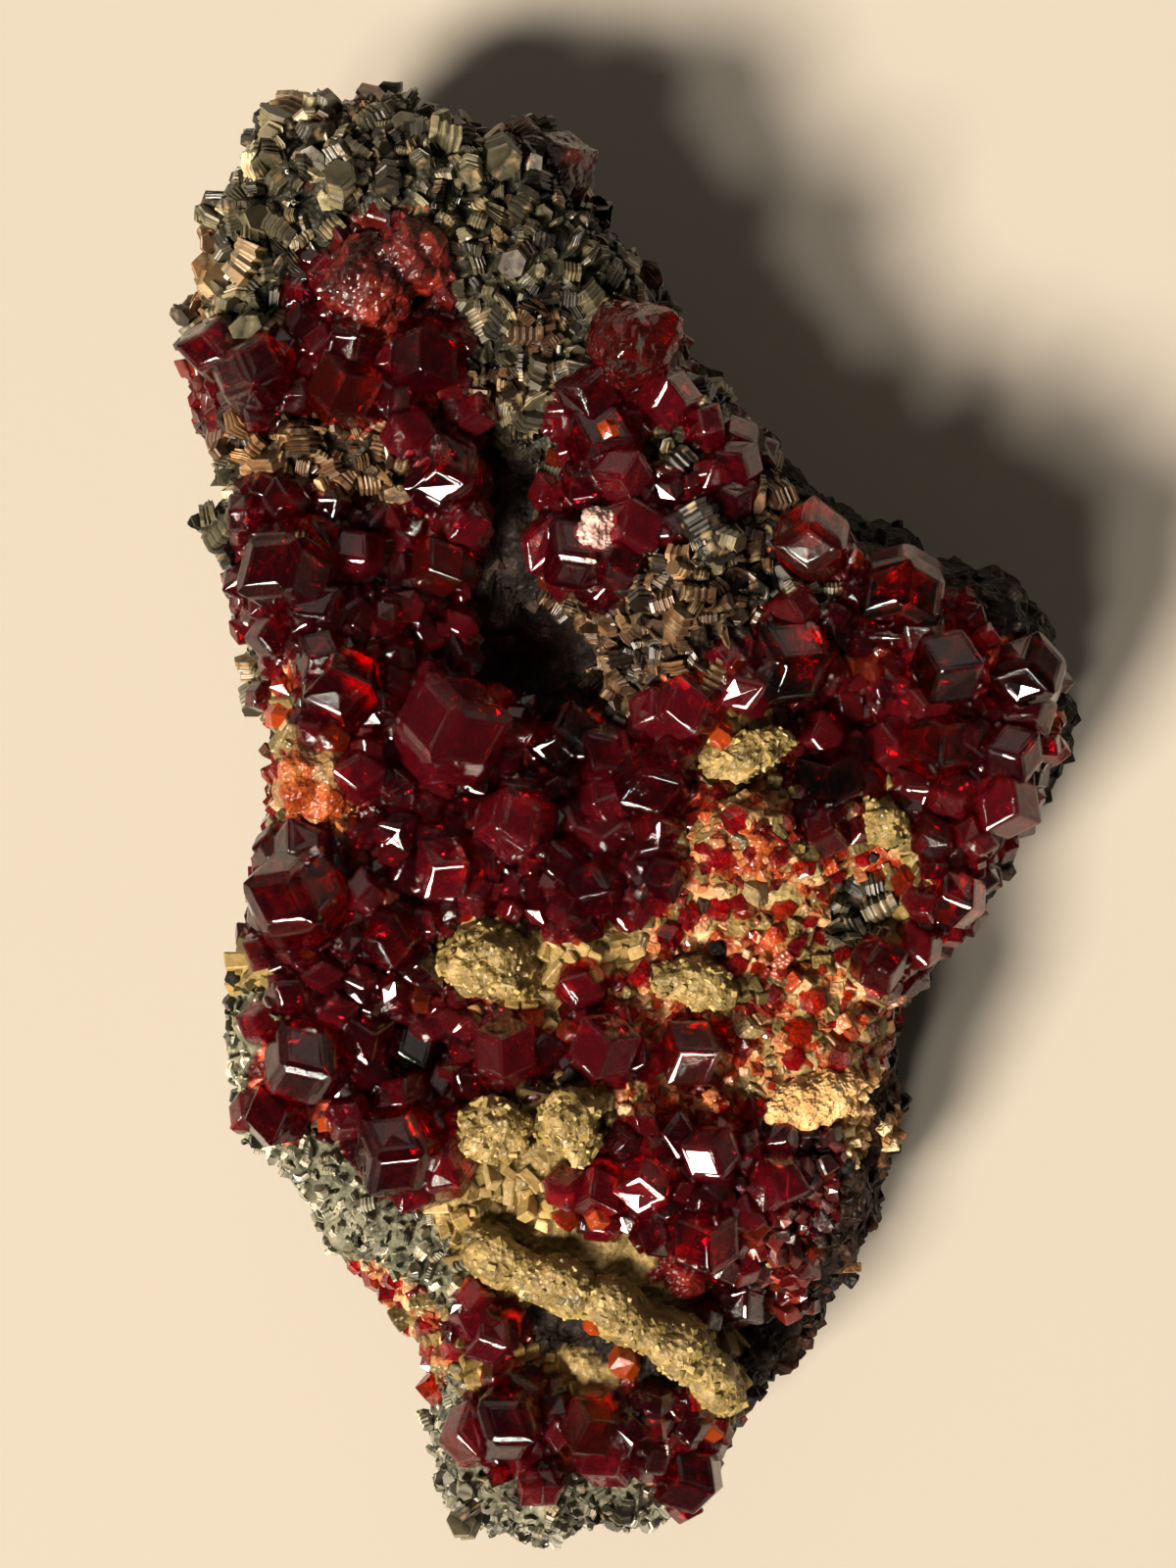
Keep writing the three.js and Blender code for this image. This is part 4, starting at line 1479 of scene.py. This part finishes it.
@dataclass
class MassiveLump:
    """A lump of massive mineral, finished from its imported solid."""

    node: str
    look: LumpLook
    materials: Materials
    grid_mm: float = 0.2
    blend_mm: float = 2.6  # width of the grains that may differ in mineral
    grain_mm: float = 0.9

    def build(self) -> bpy.types.Object:
        """Makes the lump's fine surface.

        Returns:
            The finished lump.
        """
        piece = copy_of_node(self.node, f"{self.node}_surface")
        apply_modifier(piece, "REMESH", mode="VOXEL", voxel_size=self.grid_mm * MM)
        if self.look.smooth_rounds:
            apply_modifier(piece, "SMOOTH", factor=0.9, iterations=self.look.smooth_rounds)
            swell = vertex_normals(piece.data) * self.look.swell_mm * MM
            set_positions(piece.data, positions(piece.data) + swell)
        places = positions(piece.data) / MM
        looks = self.look.looks
        which = (grown_blocks(places, self.blend_mm)[1] * len(looks)).astype(int)
        roughen(piece, self.look.relief)
        store_tint(piece.data, *tints_of(shares(places, self.grain_mm), looks, which))
        settle(piece, [self.materials[self.look.finish]], self.node)
        return piece


# ----------------------------------------------------------------------------- small growth


@dataclass
class Druse:
    """The carpet of small garnets between the large ones."""

    materials: Materials
    source: np.random.Generator
    coats: tuple[Coat, ...] = (
        Coat("large", (Mineral.GARNET,), 2.9, 9000, (1.3, 2.3), (0.1, 0.5), steepest=0.65),
        Coat("middle", (Mineral.GARNET,), 1.5, 20000, (0.75, 1.35), (0.1, 0.6), steepest=0.35),
        Coat("fine", (Mineral.GARNET, Mineral.RUST_GARNET), 0.9, 16000, (0.35, 0.8), (0.1, 0.7),
             steepest=-0.1),
        Coat("fine", (Mineral.PEACH_GARNET,), 1.9, 6000, (0.4, 1.1), (-0.2, 0.3)),
    )
    crowd: float = 1.6
    uneven: tuple[float, float] = (0.88, 1.12)  # how much a crystal is stretched each way
    tone_limits: tuple[float, float] = (0.5, 0.95)  # shares up to wine, and up to crimson
    warm_limits: tuple[float, float] = (0.1, 0.6)  # the same in the peach and rusty stone
    shaded_wing_x: float = 10.0  # painted shade: the garnets are almost black from here to the right, where the wing lies in shade
    shapes: dict[str, Shape] = field(init=False)

    def __post_init__(self) -> None:
        """Models the three crystals that are copied."""
        self.shapes = {
            "large": garnet_shape(0.06, 1),
            "middle": garnet_shape(0.07, 0),
            "fine": garnet_shape(0, 0),
        }

    def build(self, ground: Ground) -> None:
        """Grows the crystals in three sizes and three reds, the small ones in denser glass, and
        also the large ones on the wing, as painted shade.

        Args:
            ground: Where they can stand.
        """
        tones = {
            Tone.WINE: (Finish.WINE, Finish.SMALL_WINE),
            Tone.CRIMSON: (Finish.CRIMSON, Finish.SMALL_CRIMSON),
            Tone.EMBER: (Finish.EMBER, Finish.SMALL_EMBER),
        }
        swarms = [
            Swarm(f"druse_{tone.name.lower()}", tone.value, [self.materials[one] for one in pair])
            for tone, pair in tones.items()
        ]
        for coat in self.coats:
            faces = ground.pick(coat)
            count = len(faces)
            radius = coat.radii(count, self.source, self.crowd)
            frames = turned_frames(
                ground.above(faces, radius * self.source.uniform(*coat.lift, count)),
                random_axes(count, self.source),
                radius[:, None] * self.source.uniform(*self.uneven, (count, 3)),
                self.source,
            )
            draw = self.source.uniform(0, 1, count)
            kind = np.where(
                ground.minerals[faces] != Mineral.GARNET.value,
                np.digitize(draw, self.warm_limits),
                np.digitize(draw, self.tone_limits),
            )
            if coat.name == "large":
                kind = np.minimum(kind, 1)
            # painted shade: crystals on the wing take the denser glass
            wing = ground.places[faces][:, 0] > self.shaded_wing_x
            small = np.where(wing | (coat.name != "large"), 1, 0)
            for number, swarm in enumerate(swarms):
                own = kind == number
                swarm.add(self.shapes[coat.name], frames[own], finish=small[own])
        for swarm in swarms:
            swarm.build()


LOOK_FROM_MM = 100.0  # height over the whole specimen, to look down from


def top_of(pieces: Sequence[bpy.types.Object], x: float, y: float) -> np.ndarray:
    """Finds the highest place of some pieces at a spot.

    Args:
        pieces: The pieces, which stand untransformed.
        x: Place across, in millimetres.
        y: Place along, in millimetres.

    Returns:
        The place, in millimetres.
    """
    hits = [piece.ray_cast((x * MM, y * MM, LOOK_FROM_MM * MM), (0, 0, -1)) for piece in pieces]
    return np.array(max((hit[1] for hit in hits if hit[0]), key=lambda place: place.z)) / MM


@dataclass
class EmberSparks:
    """Single small orange garnets between the dark ones, whose bright cloudy orange paints the
    glow of light inside them.
    """

    materials: Materials
    source: np.random.Generator
    spots: tuple[tuple[float, float, float], ...] = (
        (-24.3, 16.2, 0.9), (-29.5, 9.4, 1.3), (-27.6, -0.6, 0.8), (-20.0, -9.5, 1.5),
        (-25.5, -23.0, 1.3), (-21.6, -28.7, 0.8), (-4.2, -30.0, 1.0), (8.2, -33.2, 0.8),
        (-2.0, -42.2, 1.5), (0.2, -47.0, 1.3), (5.1, -48.3, 1.1), (-4.6, -38.8, 0.9),
        (-14.1, -36.4, 1.2), (-10.6, -43.0, 0.9), (-3.3, 31.6, 0.9), (31.4, 9.4, 1.4),
        (5.6, 7.6, 1.2), (-17.4, -7.0, 0.7), (-23.0, 3.0, 0.7), (9.5, -27.5, 0.8),
    )  # x and y in millimetres, and size
    scale: float = 0.75  # radius of a spark of size one, in millimetres
    lift: float = 0.2  # height of a crystal's middle over what it stands on, in radii
    uneven: tuple[float, float] = (0.85, 1.15)

    def build(self, pieces: Sequence[bpy.types.Object]) -> None:
        """Sets the crystals on whatever is highest at their spots.

        Args:
            pieces: What they can stand on.
        """
        count = len(self.spots)
        radius = self.scale * np.array([spot[2] for spot in self.spots])
        tops = np.array([top_of(pieces, x, y) for x, y, _ in self.spots])
        tops[:, 2] += self.lift * radius
        frames = turned_frames(
            tops,
            random_axes(count, self.source),
            radius[:, None] * self.source.uniform(*self.uneven, (count, 3)),
            self.source,
        )
        swarm = Swarm("sparks", "garnet_ember", [self.materials[Finish.SPARK]])
        swarm.add(garnet_shape(0.05, 0), frames)
        swarm.build()


@dataclass
class PaleCap:
    """The pinkish white crust on a garnet beside the hollow."""

    materials: Materials
    x: float = -4.0
    y: float = 23.9
    half_mm: tuple[float, float, float] = (1.7, 1.9, 1.1)
    look: GroundLook = GroundLook(("7c5850", "c49e94", "ecd6cc"), 0.8)
    relief: tuple[Relief, ...] = (Relief(1.3, 0.9), Relief(0.5, 0.35))
    grain_mm: float = 0.5

    def build(self, pieces: Sequence[bpy.types.Object]) -> bpy.types.Object:
        """Models the crust.

        Args:
            pieces: What it can lie on.

        Returns:
            The finished crust.
        """
        middle = top_of(pieces, self.x, self.y)
        bpy.ops.mesh.primitive_ico_sphere_add(subdivisions=6, radius=1)
        piece = bpy.context.object
        piece.name = "pale_cap"
        set_positions(piece.data, (positions(piece.data) * self.half_mm + middle) * MM)
        roughen(piece, self.relief)
        places = positions(piece.data) / MM
        which = np.zeros(len(places), dtype=int)
        store_tint(piece.data, *tints_of(shares(places, self.grain_mm), [self.look], which))
        settle(piece, [self.materials[Finish.CRUST]])
        return piece


@dataclass
class ChloriteBooks:
    """The chlorite: thousands of small stacked leaves, most of them lying down."""

    materials: Materials
    source: np.random.Generator
    coats: tuple[Coat, ...] = (
        Coat("green", (Mineral.GREEN_CHLORITE,), 1.05, 30000, (0.6, 1.7), (0.0, 0.6),
             ("26231a", "4a4635", "70694f", "a29876", "4a3826", "826a48"),
             (0.24, 0.3, 0.24, 0.1, 0.07, 0.05), "chlorite_book", steepest=0.1),
        Coat("tan", (Mineral.TAN_CHLORITE,), 1.0, 16000, (0.6, 1.6), (0.0, 0.6),
             ("2c1f16", "563d28", "7a5a3c", "a6825a"),
             (0.28, 0.35, 0.25, 0.12), "chlorite_book", steepest=0.1),
        Coat("pale", (Mineral.PALE_CHLORITE,), 0.9, 20000, (0.35, 0.85), (0.0, 0.6),
             ("4e5042", "8a8a74", "b8b49c", "dcd8c4"),
             (0.28, 0.35, 0.25, 0.12), "chlorite_book", steepest=-0.2),
    )
    crowd: float = 1.7
    rise: float = 0.28  # how much the stacks lean out of the ground
    narrow: tuple[float, float] = (0.4, 1.0)  # width of the leaves over their length
    thick: tuple[float, float] = (0.35, 1.35)  # half height of the stack over that length
    shade: float = 0.6  # how much whole areas differ
    shade_mm: float = 5.0  # spacing of these areas
    painted_light_left: tuple[float, float] = (1.6, 0.75)  # painted light: the books are lighter at the left rim, where the light falls, and darken
    painted_light_left_x: tuple[float, float] = (-31.0, -14.0)  # between these places
    shapes: list[Shape] = field(init=False)

    def __post_init__(self) -> None:
        """Models the books that are copied."""
        self.shapes = [
            book_shape(5, 0, 0.1, self.source),
            book_shape(5, 35, 0.08, self.source),
            book_shape(5, 70, 0.05, self.source),
            book_shape(4, 15, 0.18, self.source),
        ]

    def build(self, ground: Ground) -> None:
        """Covers the chlorite ground.

        Args:
            ground: Where the books can stand.
        """
        for coat in self.coats:
            swarm = coat.swarm("books", self.materials)
            faces = ground.pick(coat)
            kinds = self.source.integers(0, len(self.shapes), len(faces))
            for kind, shape in enumerate(self.shapes):
                own = faces[kinds == kind]
                count = len(own)
                radius = coat.radii(count, self.source, self.crowd)
                lying = np.cross(ground.normals[own], random_axes(count, self.source))
                rise = ground.normals[own] * self.source.normal(0, self.rise, (count, 1))
                sizes = np.stack([
                    radius,
                    radius * self.source.uniform(*self.narrow, count),
                    radius * self.source.uniform(*self.thick, count),
                ], axis=1)
                places = ground.above(own, radius * self.source.uniform(*coat.lift, count))
                frames = turned_frames(places, lying + rise, sizes, self.source)
                tints = mixed_tints(count, coat, self.source)
                tints *= 1 + self.shade * smooth_noise(ground.places[own], self.shade_mm)[:, None]
                # painted light: lighter at the left rim, darker towards the middle
                tints *= np.interp(ground.places[own][:, :1], self.painted_light_left_x, self.painted_light_left)
                swarm.add(shape, frames, tints)
            swarm.build()


@dataclass
class Grains:
    """Sugary grains of diopside, peach garnet and crust, specks on the dark brown rock, and
    near-black grains in the painted shade.
    """

    materials: Materials
    source: np.random.Generator
    coats: tuple[Coat, ...] = (
        Coat("diopside", (Mineral.DIOPSIDE,), 1.0, 7000, (0.35, 0.95), (-0.7, -0.1),
             ("5a4a26", "86703c", "a88e56", "c8ae78"), (0.25, 0.35, 0.3, 0.1),
             "diopside_olive", Finish.SUGAR, 0.55),
        Coat("sugar", (Mineral.SUGARY_DIOPSIDE,), 0.7, 6000, (0.14, 0.34), (-0.95, -0.4),
             ("766836", "988548", "b29e60", "c8b680"), (0.22, 0.36, 0.3, 0.12),
             "diopside_olive", Finish.SUGAR, 0.6),
        Coat("straw", (Mineral.PEACH_GARNET,), 2.8, 900, (0.7, 1.2), (-0.9, -0.4),
             ("6a5a32", "907a48", "b09a6c"), (0.3, 0.4, 0.3),
             "diopside_straw", Finish.DIOPSIDE, 0.38),
        Coat("peach", (Mineral.PEACH_GARNET,), 0.9, 9000, (0.3, 0.8), (-0.9, -0.2),
             ("84200e", "ac441e", "c47a48", "e0ac7a", "927a46"), (0.16, 0.18, 0.24, 0.26, 0.16),
             "grossular_orange", Finish.DIOPSIDE, 0.38),
        Coat("rust", (Mineral.RUST_GARNET,), 0.9, 9000, (0.35, 0.9), (-0.1, 0.5),
             ("300806", "5c120c", "842414"), (0.45, 0.38, 0.17),
             "garnet_rust", Finish.MASSIVE, 0.38),
        Coat("crust", (Mineral.CREAM_CRUST,), 0.7, 4000, (0.25, 0.6), (-0.1, 0.5),
             ("b88850", "e8bc80", "f8dcaa"), (0.3, 0.4, 0.3),
             "cream_crust", Finish.CRUST, 0.9),
        # painted shade: near-black grains in the hollows and on the shaded flank
        Coat("dark", (Mineral.DARK_ROCK_AND_PAINTED_SHADE,), 2.2, 5000, (0.3, 0.8), (-0.7, -0.2),
             ("0e0a08", "1e1713", "3c3027"), (0.4, 0.4, 0.2),
             "matrix", Finish.ROCK, 0.75, steepest=-0.3),
        Coat("brown", (Mineral.BROWN_ROCK,), 1.4, 12000, (0.3, 0.7), (-0.7, 0.0),
             ("120a07", "281812", "4a2c1c", "84603c"), (0.38, 0.37, 0.21, 0.04),
             "matrix", Finish.ROCK, 0.65, steepest=-0.3),
    )
    stretches: tuple[float, ...] = (1.0, 1.5, 2.4)
    shapes: list[Shape] = field(init=False)

    def __post_init__(self) -> None:
        """Models the grains that are copied."""
        self.shapes = [grain_shape(stretch, self.source) for stretch in self.stretches]

    def build(self, ground: Ground) -> None:
        """Spreads the grains.

        Args:
            ground: Where they can lie.
        """
        for coat in self.coats:
            swarm = coat.swarm("grains", self.materials)
            faces = ground.pick(coat)
            kinds = self.source.integers(0, len(self.shapes), len(faces))
            for kind, shape in enumerate(self.shapes):
                own = faces[kinds == kind]
                count = len(own)
                radius = self.source.uniform(*coat.radius, count)
                frames = turned_frames(
                    ground.above(own, radius * self.source.uniform(*coat.lift, count)),
                    random_axes(count, self.source),
                    np.repeat(radius[:, None], 3, axis=1),
                    self.source,
                )
                tints = clustered_tints(ground.places[own], coat, self.source)
                swarm.add(shape, frames, tints)
            swarm.build()


# -------------------------------------------------------------------------------- studio

AIM_MM = 15.0  # the lamps face this height in the middle of the specimen


@dataclass(frozen=True)
class Lamp:
    """One studio light that faces the specimen."""

    name: str
    kind: str  # Blender's name of the lamp type
    place_mm: tuple[float, float, float]
    energy: float
    color: str
    settings: tuple[tuple[str, float | str], ...]

    def build(self) -> None:
        """Hangs the lamp."""
        light = bpy.data.lights.new(self.name, self.kind)
        for key, value in self.settings:
            setattr(light, key, value)
        light.energy = self.energy
        light.color = linear(self.color)[:3]
        holder = bpy.data.objects.new(self.name, light)
        holder.location = Vector(self.place_mm) * MM
        facing = Vector((0, 0, AIM_MM * MM)) - holder.location
        holder.rotation_euler = facing.to_track_quat("-Z", "Y").to_euler()
        bpy.context.scene.collection.objects.link(holder)


@dataclass
class Studio:
    """Pale floor, soft light and the camera over the crystal face."""

    camera_mm: tuple[float, float, float] = (-4.9, 3.9, 198.0)
    lens: float = 50.0
    sensor_mm: float = 36.0
    floor_size: float = 12.0  # in metres
    bounces: tuple[tuple[str, int], ...] = (
        ("max", 9), ("transmission", 9), ("diffuse", 3), ("glossy", 4),
    )
    lamps: tuple[Lamp, ...] = (
        # the key from the lower left, whose width sets the edge of the shadow
        Lamp("key", "SUN", (-720, -660, 930), 6.6, "fff0de", (("angle", math.radians(15.0)),)),
        # a narrower one beside it, for more glints
        Lamp("side", "SUN", (-290, -500, 820), 1.0, "fff4e6", (("angle", math.radians(9.0)),)),
        # a broad, weak one from the upper side that opens the shadows
        Lamp("fill", "AREA", (-150, 650, 800), 0.7, "fff2e2", (
            ("shape", "SQUARE"), ("size", 700 * MM),
        )),
    )

    def build(self) -> None:
        """Makes the floor, the lights, the sky and the camera."""
        self.floor()
        for lamp in self.lamps:
            lamp.build()
        self.sky()
        self.camera()
        scene = bpy.context.scene
        scene.view_settings.view_transform = "Standard"
        for kind, count in self.bounces:
            setattr(scene.cycles, f"{kind}_bounces", count)

    def sky(self) -> None:
        """Makes the air: warm at the horizon like the floor, and dark above."""
        world = bpy.data.worlds.new("studio_air")
        world.use_nodes = True
        tree = world.node_tree
        way = add_node(tree, "ShaderNodeTexCoord")
        split = add_node(tree, "ShaderNodeSeparateXYZ", sockets={0: way.outputs["Object"]})
        sky = add_node(tree, "ShaderNodeValToRGB", sockets={0: split.outputs["Z"]}, stops=(
            (0.0, linear("e8d6ba")),
            (0.14, linear("7a7265")),
            (0.4, linear("2e2c29")),
            (1.0, linear("272523")),
        ))
        tree.links.new(sky.outputs["Color"], tree.nodes["Background"].inputs["Color"])
        bpy.context.scene.world = world

    def camera(self) -> None:
        """Hangs the camera over the crystal face, looking straight down."""
        lens = bpy.data.cameras.new("camera")
        lens.lens = self.lens
        lens.sensor_fit = "VERTICAL"
        lens.sensor_height = self.sensor_mm
        lens.clip_start = 10 * MM
        camera = bpy.data.objects.new("camera", lens)
        camera.location = Vector(self.camera_mm) * MM
        bpy.context.scene.collection.objects.link(camera)
        bpy.context.scene.camera = camera

    def floor(self) -> None:
        """Makes the pale floor."""
        bpy.ops.mesh.primitive_plane_add(size=self.floor_size)
        floor = bpy.context.object
        floor.name = "studio_floor"
        # a warm white, matte sheet that shows the shadow and nothing else
        material, tree, output = new_material("pale_paper")
        paper = add_node(tree, "ShaderNodeBsdfPrincipled", sockets={
            "Base Color": linear("bab4a8"),
            "Roughness": 0.8,
        })
        tree.links.new(paper.outputs["BSDF"], output.inputs["Surface"])
        floor.data.materials.append(material)


# ---------------------------------------------------------------------------------- main

# slot and finish of the single garnets; all that are not named here are wine red
GARNETS: dict[tuple[Tone, Finish], tuple[str, ...]] = {
    (Tone.CRIMSON, Finish.CRIMSON): (
        "garnet_crimson_wedge", "garnet_wing_red", "garnet_lower_crimson", "garnet_mid_crimson",
        "garnet_low_pair", "garnet_tail_crimson",
    ),
    (Tone.EMBER, Finish.EMBER): ("garnet_top_ember",),
    (Tone.RUST, Finish.RUST): (
        "garnet_neck_lower", "garnet_rusty", "garnet_lower_pink", "garnet_tail_right",
    ),
    # wine red, but clearer than the others
    (Tone.WINE, Finish.CRIMSON): (
        "garnet_largest", "garnet_center_bright", "garnet_center_lower",
    ),
    # painted shade: almost black glass on the shaded wing and in the hollow
    (Tone.WINE, Finish.DEEP_PAINTED_SHADE): (
        "garnet_black", "garnet_wing_upper", "garnet_wing_lower", "garnet_wing_outer",
        "garnet_shadow_right", "garnet_hollow_dark", "garnet_pocket_dark",
    ),
    (Tone.CRIMSON, Finish.DEEP_PAINTED_SHADE): ("garnet_right_edge",),
    (Tone.RUST, Finish.DEEP_PAINTED_SHADE): ("garnet_dome",),
}
RED = GroundLook(("2c0806", "6c150e", "a03420"), 0.35)
DARK_RED = GroundLook(("1c0504", "480e0a", "701a12"), 0.3)
HORN = GroundLook(("180605", "3c100c", "743024"), 0.3)
SHOULDER = GroundLook(("200605", "4c100b", "782418"), 0.35)
OLIVE = GroundLook(("66562e", "9e854a", "ccb076"), 0.55)
STRAW = GroundLook(("765228", "ac8250", "d0aa78"), 0.4)
ORANGE = GroundLook(("7a2206", "b4501c", "cc8444"), 0.35)
SCARLET = GroundLook(("500c06", "8c2410", "b85a34"), 0.3)
CREAM = GroundLook(("9c703e", "dcac6c", "f6d49a"), 0.9)
LEAVES = GroundLook(("24241a", "545240", "8c866a"), 0.5)
LUMPS: dict[str, LumpLook] = {  # by the start of the node's name; the first that fits counts
    "garnet_upper_mass": LumpLook("garnet_rust", Finish.MASSIVE, (RED, DARK_RED, RED), (
        Relief(2.6, 1.2), Relief(1.1, 0.6), Relief(0.5, 0.25),
    )),
    "garnet_horn": LumpLook("garnet_rust", Finish.MASSIVE, (HORN,), (
        Relief(2.4, 0.5), Relief(0.6, 0.2),
    )),
    "garnet_shoulder": LumpLook("garnet_rust", Finish.RUST, (SHOULDER,), (
        Relief(3.8, 1.6), Relief(1.6, 0.4),
    )),
    "diopside_plateau": LumpLook("diopside_straw", Finish.DIOPSIDE, (
        STRAW, SCARLET, STRAW, ORANGE,
    )),
    "diopside_ridge": LumpLook("diopside_olive", Finish.DIOPSIDE, (OLIVE,), (
        Relief(6.0, 1.2, blocks=False), Relief(2.6, 0.9), Relief(0.9, 0.25),
    ), smooth_rounds=200, swell_mm=0.8),
    "diopside": LumpLook("diopside_olive", Finish.DIOPSIDE, (OLIVE,)),
    "orange": LumpLook("grossular_orange", Finish.DIOPSIDE, (
        ORANGE, STRAW, ORANGE, SCARLET, ORANGE,
    )),
    "cream": LumpLook("cream_crust", Finish.CRUST, (CREAM,), (
        Relief(1.7, 0.9), Relief(0.8, 0.5), Relief(0.4, 0.2),
    )),
    "chlorite": LumpLook("chlorite_book", Finish.ROCK, (LEAVES,)),
}
SUGARY = (
    "diopside_ridge", "diopside_block", "diopside_knob_left", "diopside_knob_right",
    "diopside_ledge", "diopside_lower", "diopside_right",
)
LEAFY = (
    "chlorite_tip", "chlorite_knob", "chlorite_book_lobe", "chlorite_book_pillar",
    "chlorite_book_plateau",
)
GROWN_OVER = ("diopside_plateau", *SUGARY, *LEAFY)  # lumps with small growth


def build_node(node: str, materials: Materials) -> bpy.types.Object:
    """Finishes one packed crystal or lump.

    Args:
        node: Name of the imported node.
        materials: The materials.

    Returns:
        The finished piece.
    """
    for start, look in LUMPS.items():
        if node.startswith(start):
            return MassiveLump(node, look, materials).build()
    kinds = (kind for kind, names in GARNETS.items() if node in names)
    tone, finish = next(kinds, (Tone.WINE, Finish.WINE))
    return LargeGarnet(node, tone, materials[finish]).build()


def main() -> None:
    logging.basicConfig(level=logging.INFO, format="%(message)s")
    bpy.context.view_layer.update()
    source = np.random.default_rng(20)
    materials = {finish: finish.value.build() for finish in Finish}
    crystals = [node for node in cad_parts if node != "matrix_rock"]
    rock = Rock(materials, [node for node in crystals if node.startswith("garnet")]).build()
    lumps = {node: build_node(node, materials) for node in crystals}
    ground = Ground(
        {"matrix_rock": rock} | {node: lumps[node] for node in GROWN_OVER}, source, crystals,
        dict.fromkeys(SUGARY, Mineral.SUGARY_DIOPSIDE)
        | dict.fromkeys(LEAFY, Mineral.GREEN_CHLORITE),
    )
    Druse(materials, source).build(ground)
    ChloriteBooks(materials, source).build(ground)
    Grains(materials, source).build(ground)
    bpy.context.view_layer.update()
    grown = [rock, *lumps.values()]
    EmberSparks(materials, source).build(grown)
    PaleCap(materials).build(grown)
    Studio().build()


if __name__ == "__main__":
    main()
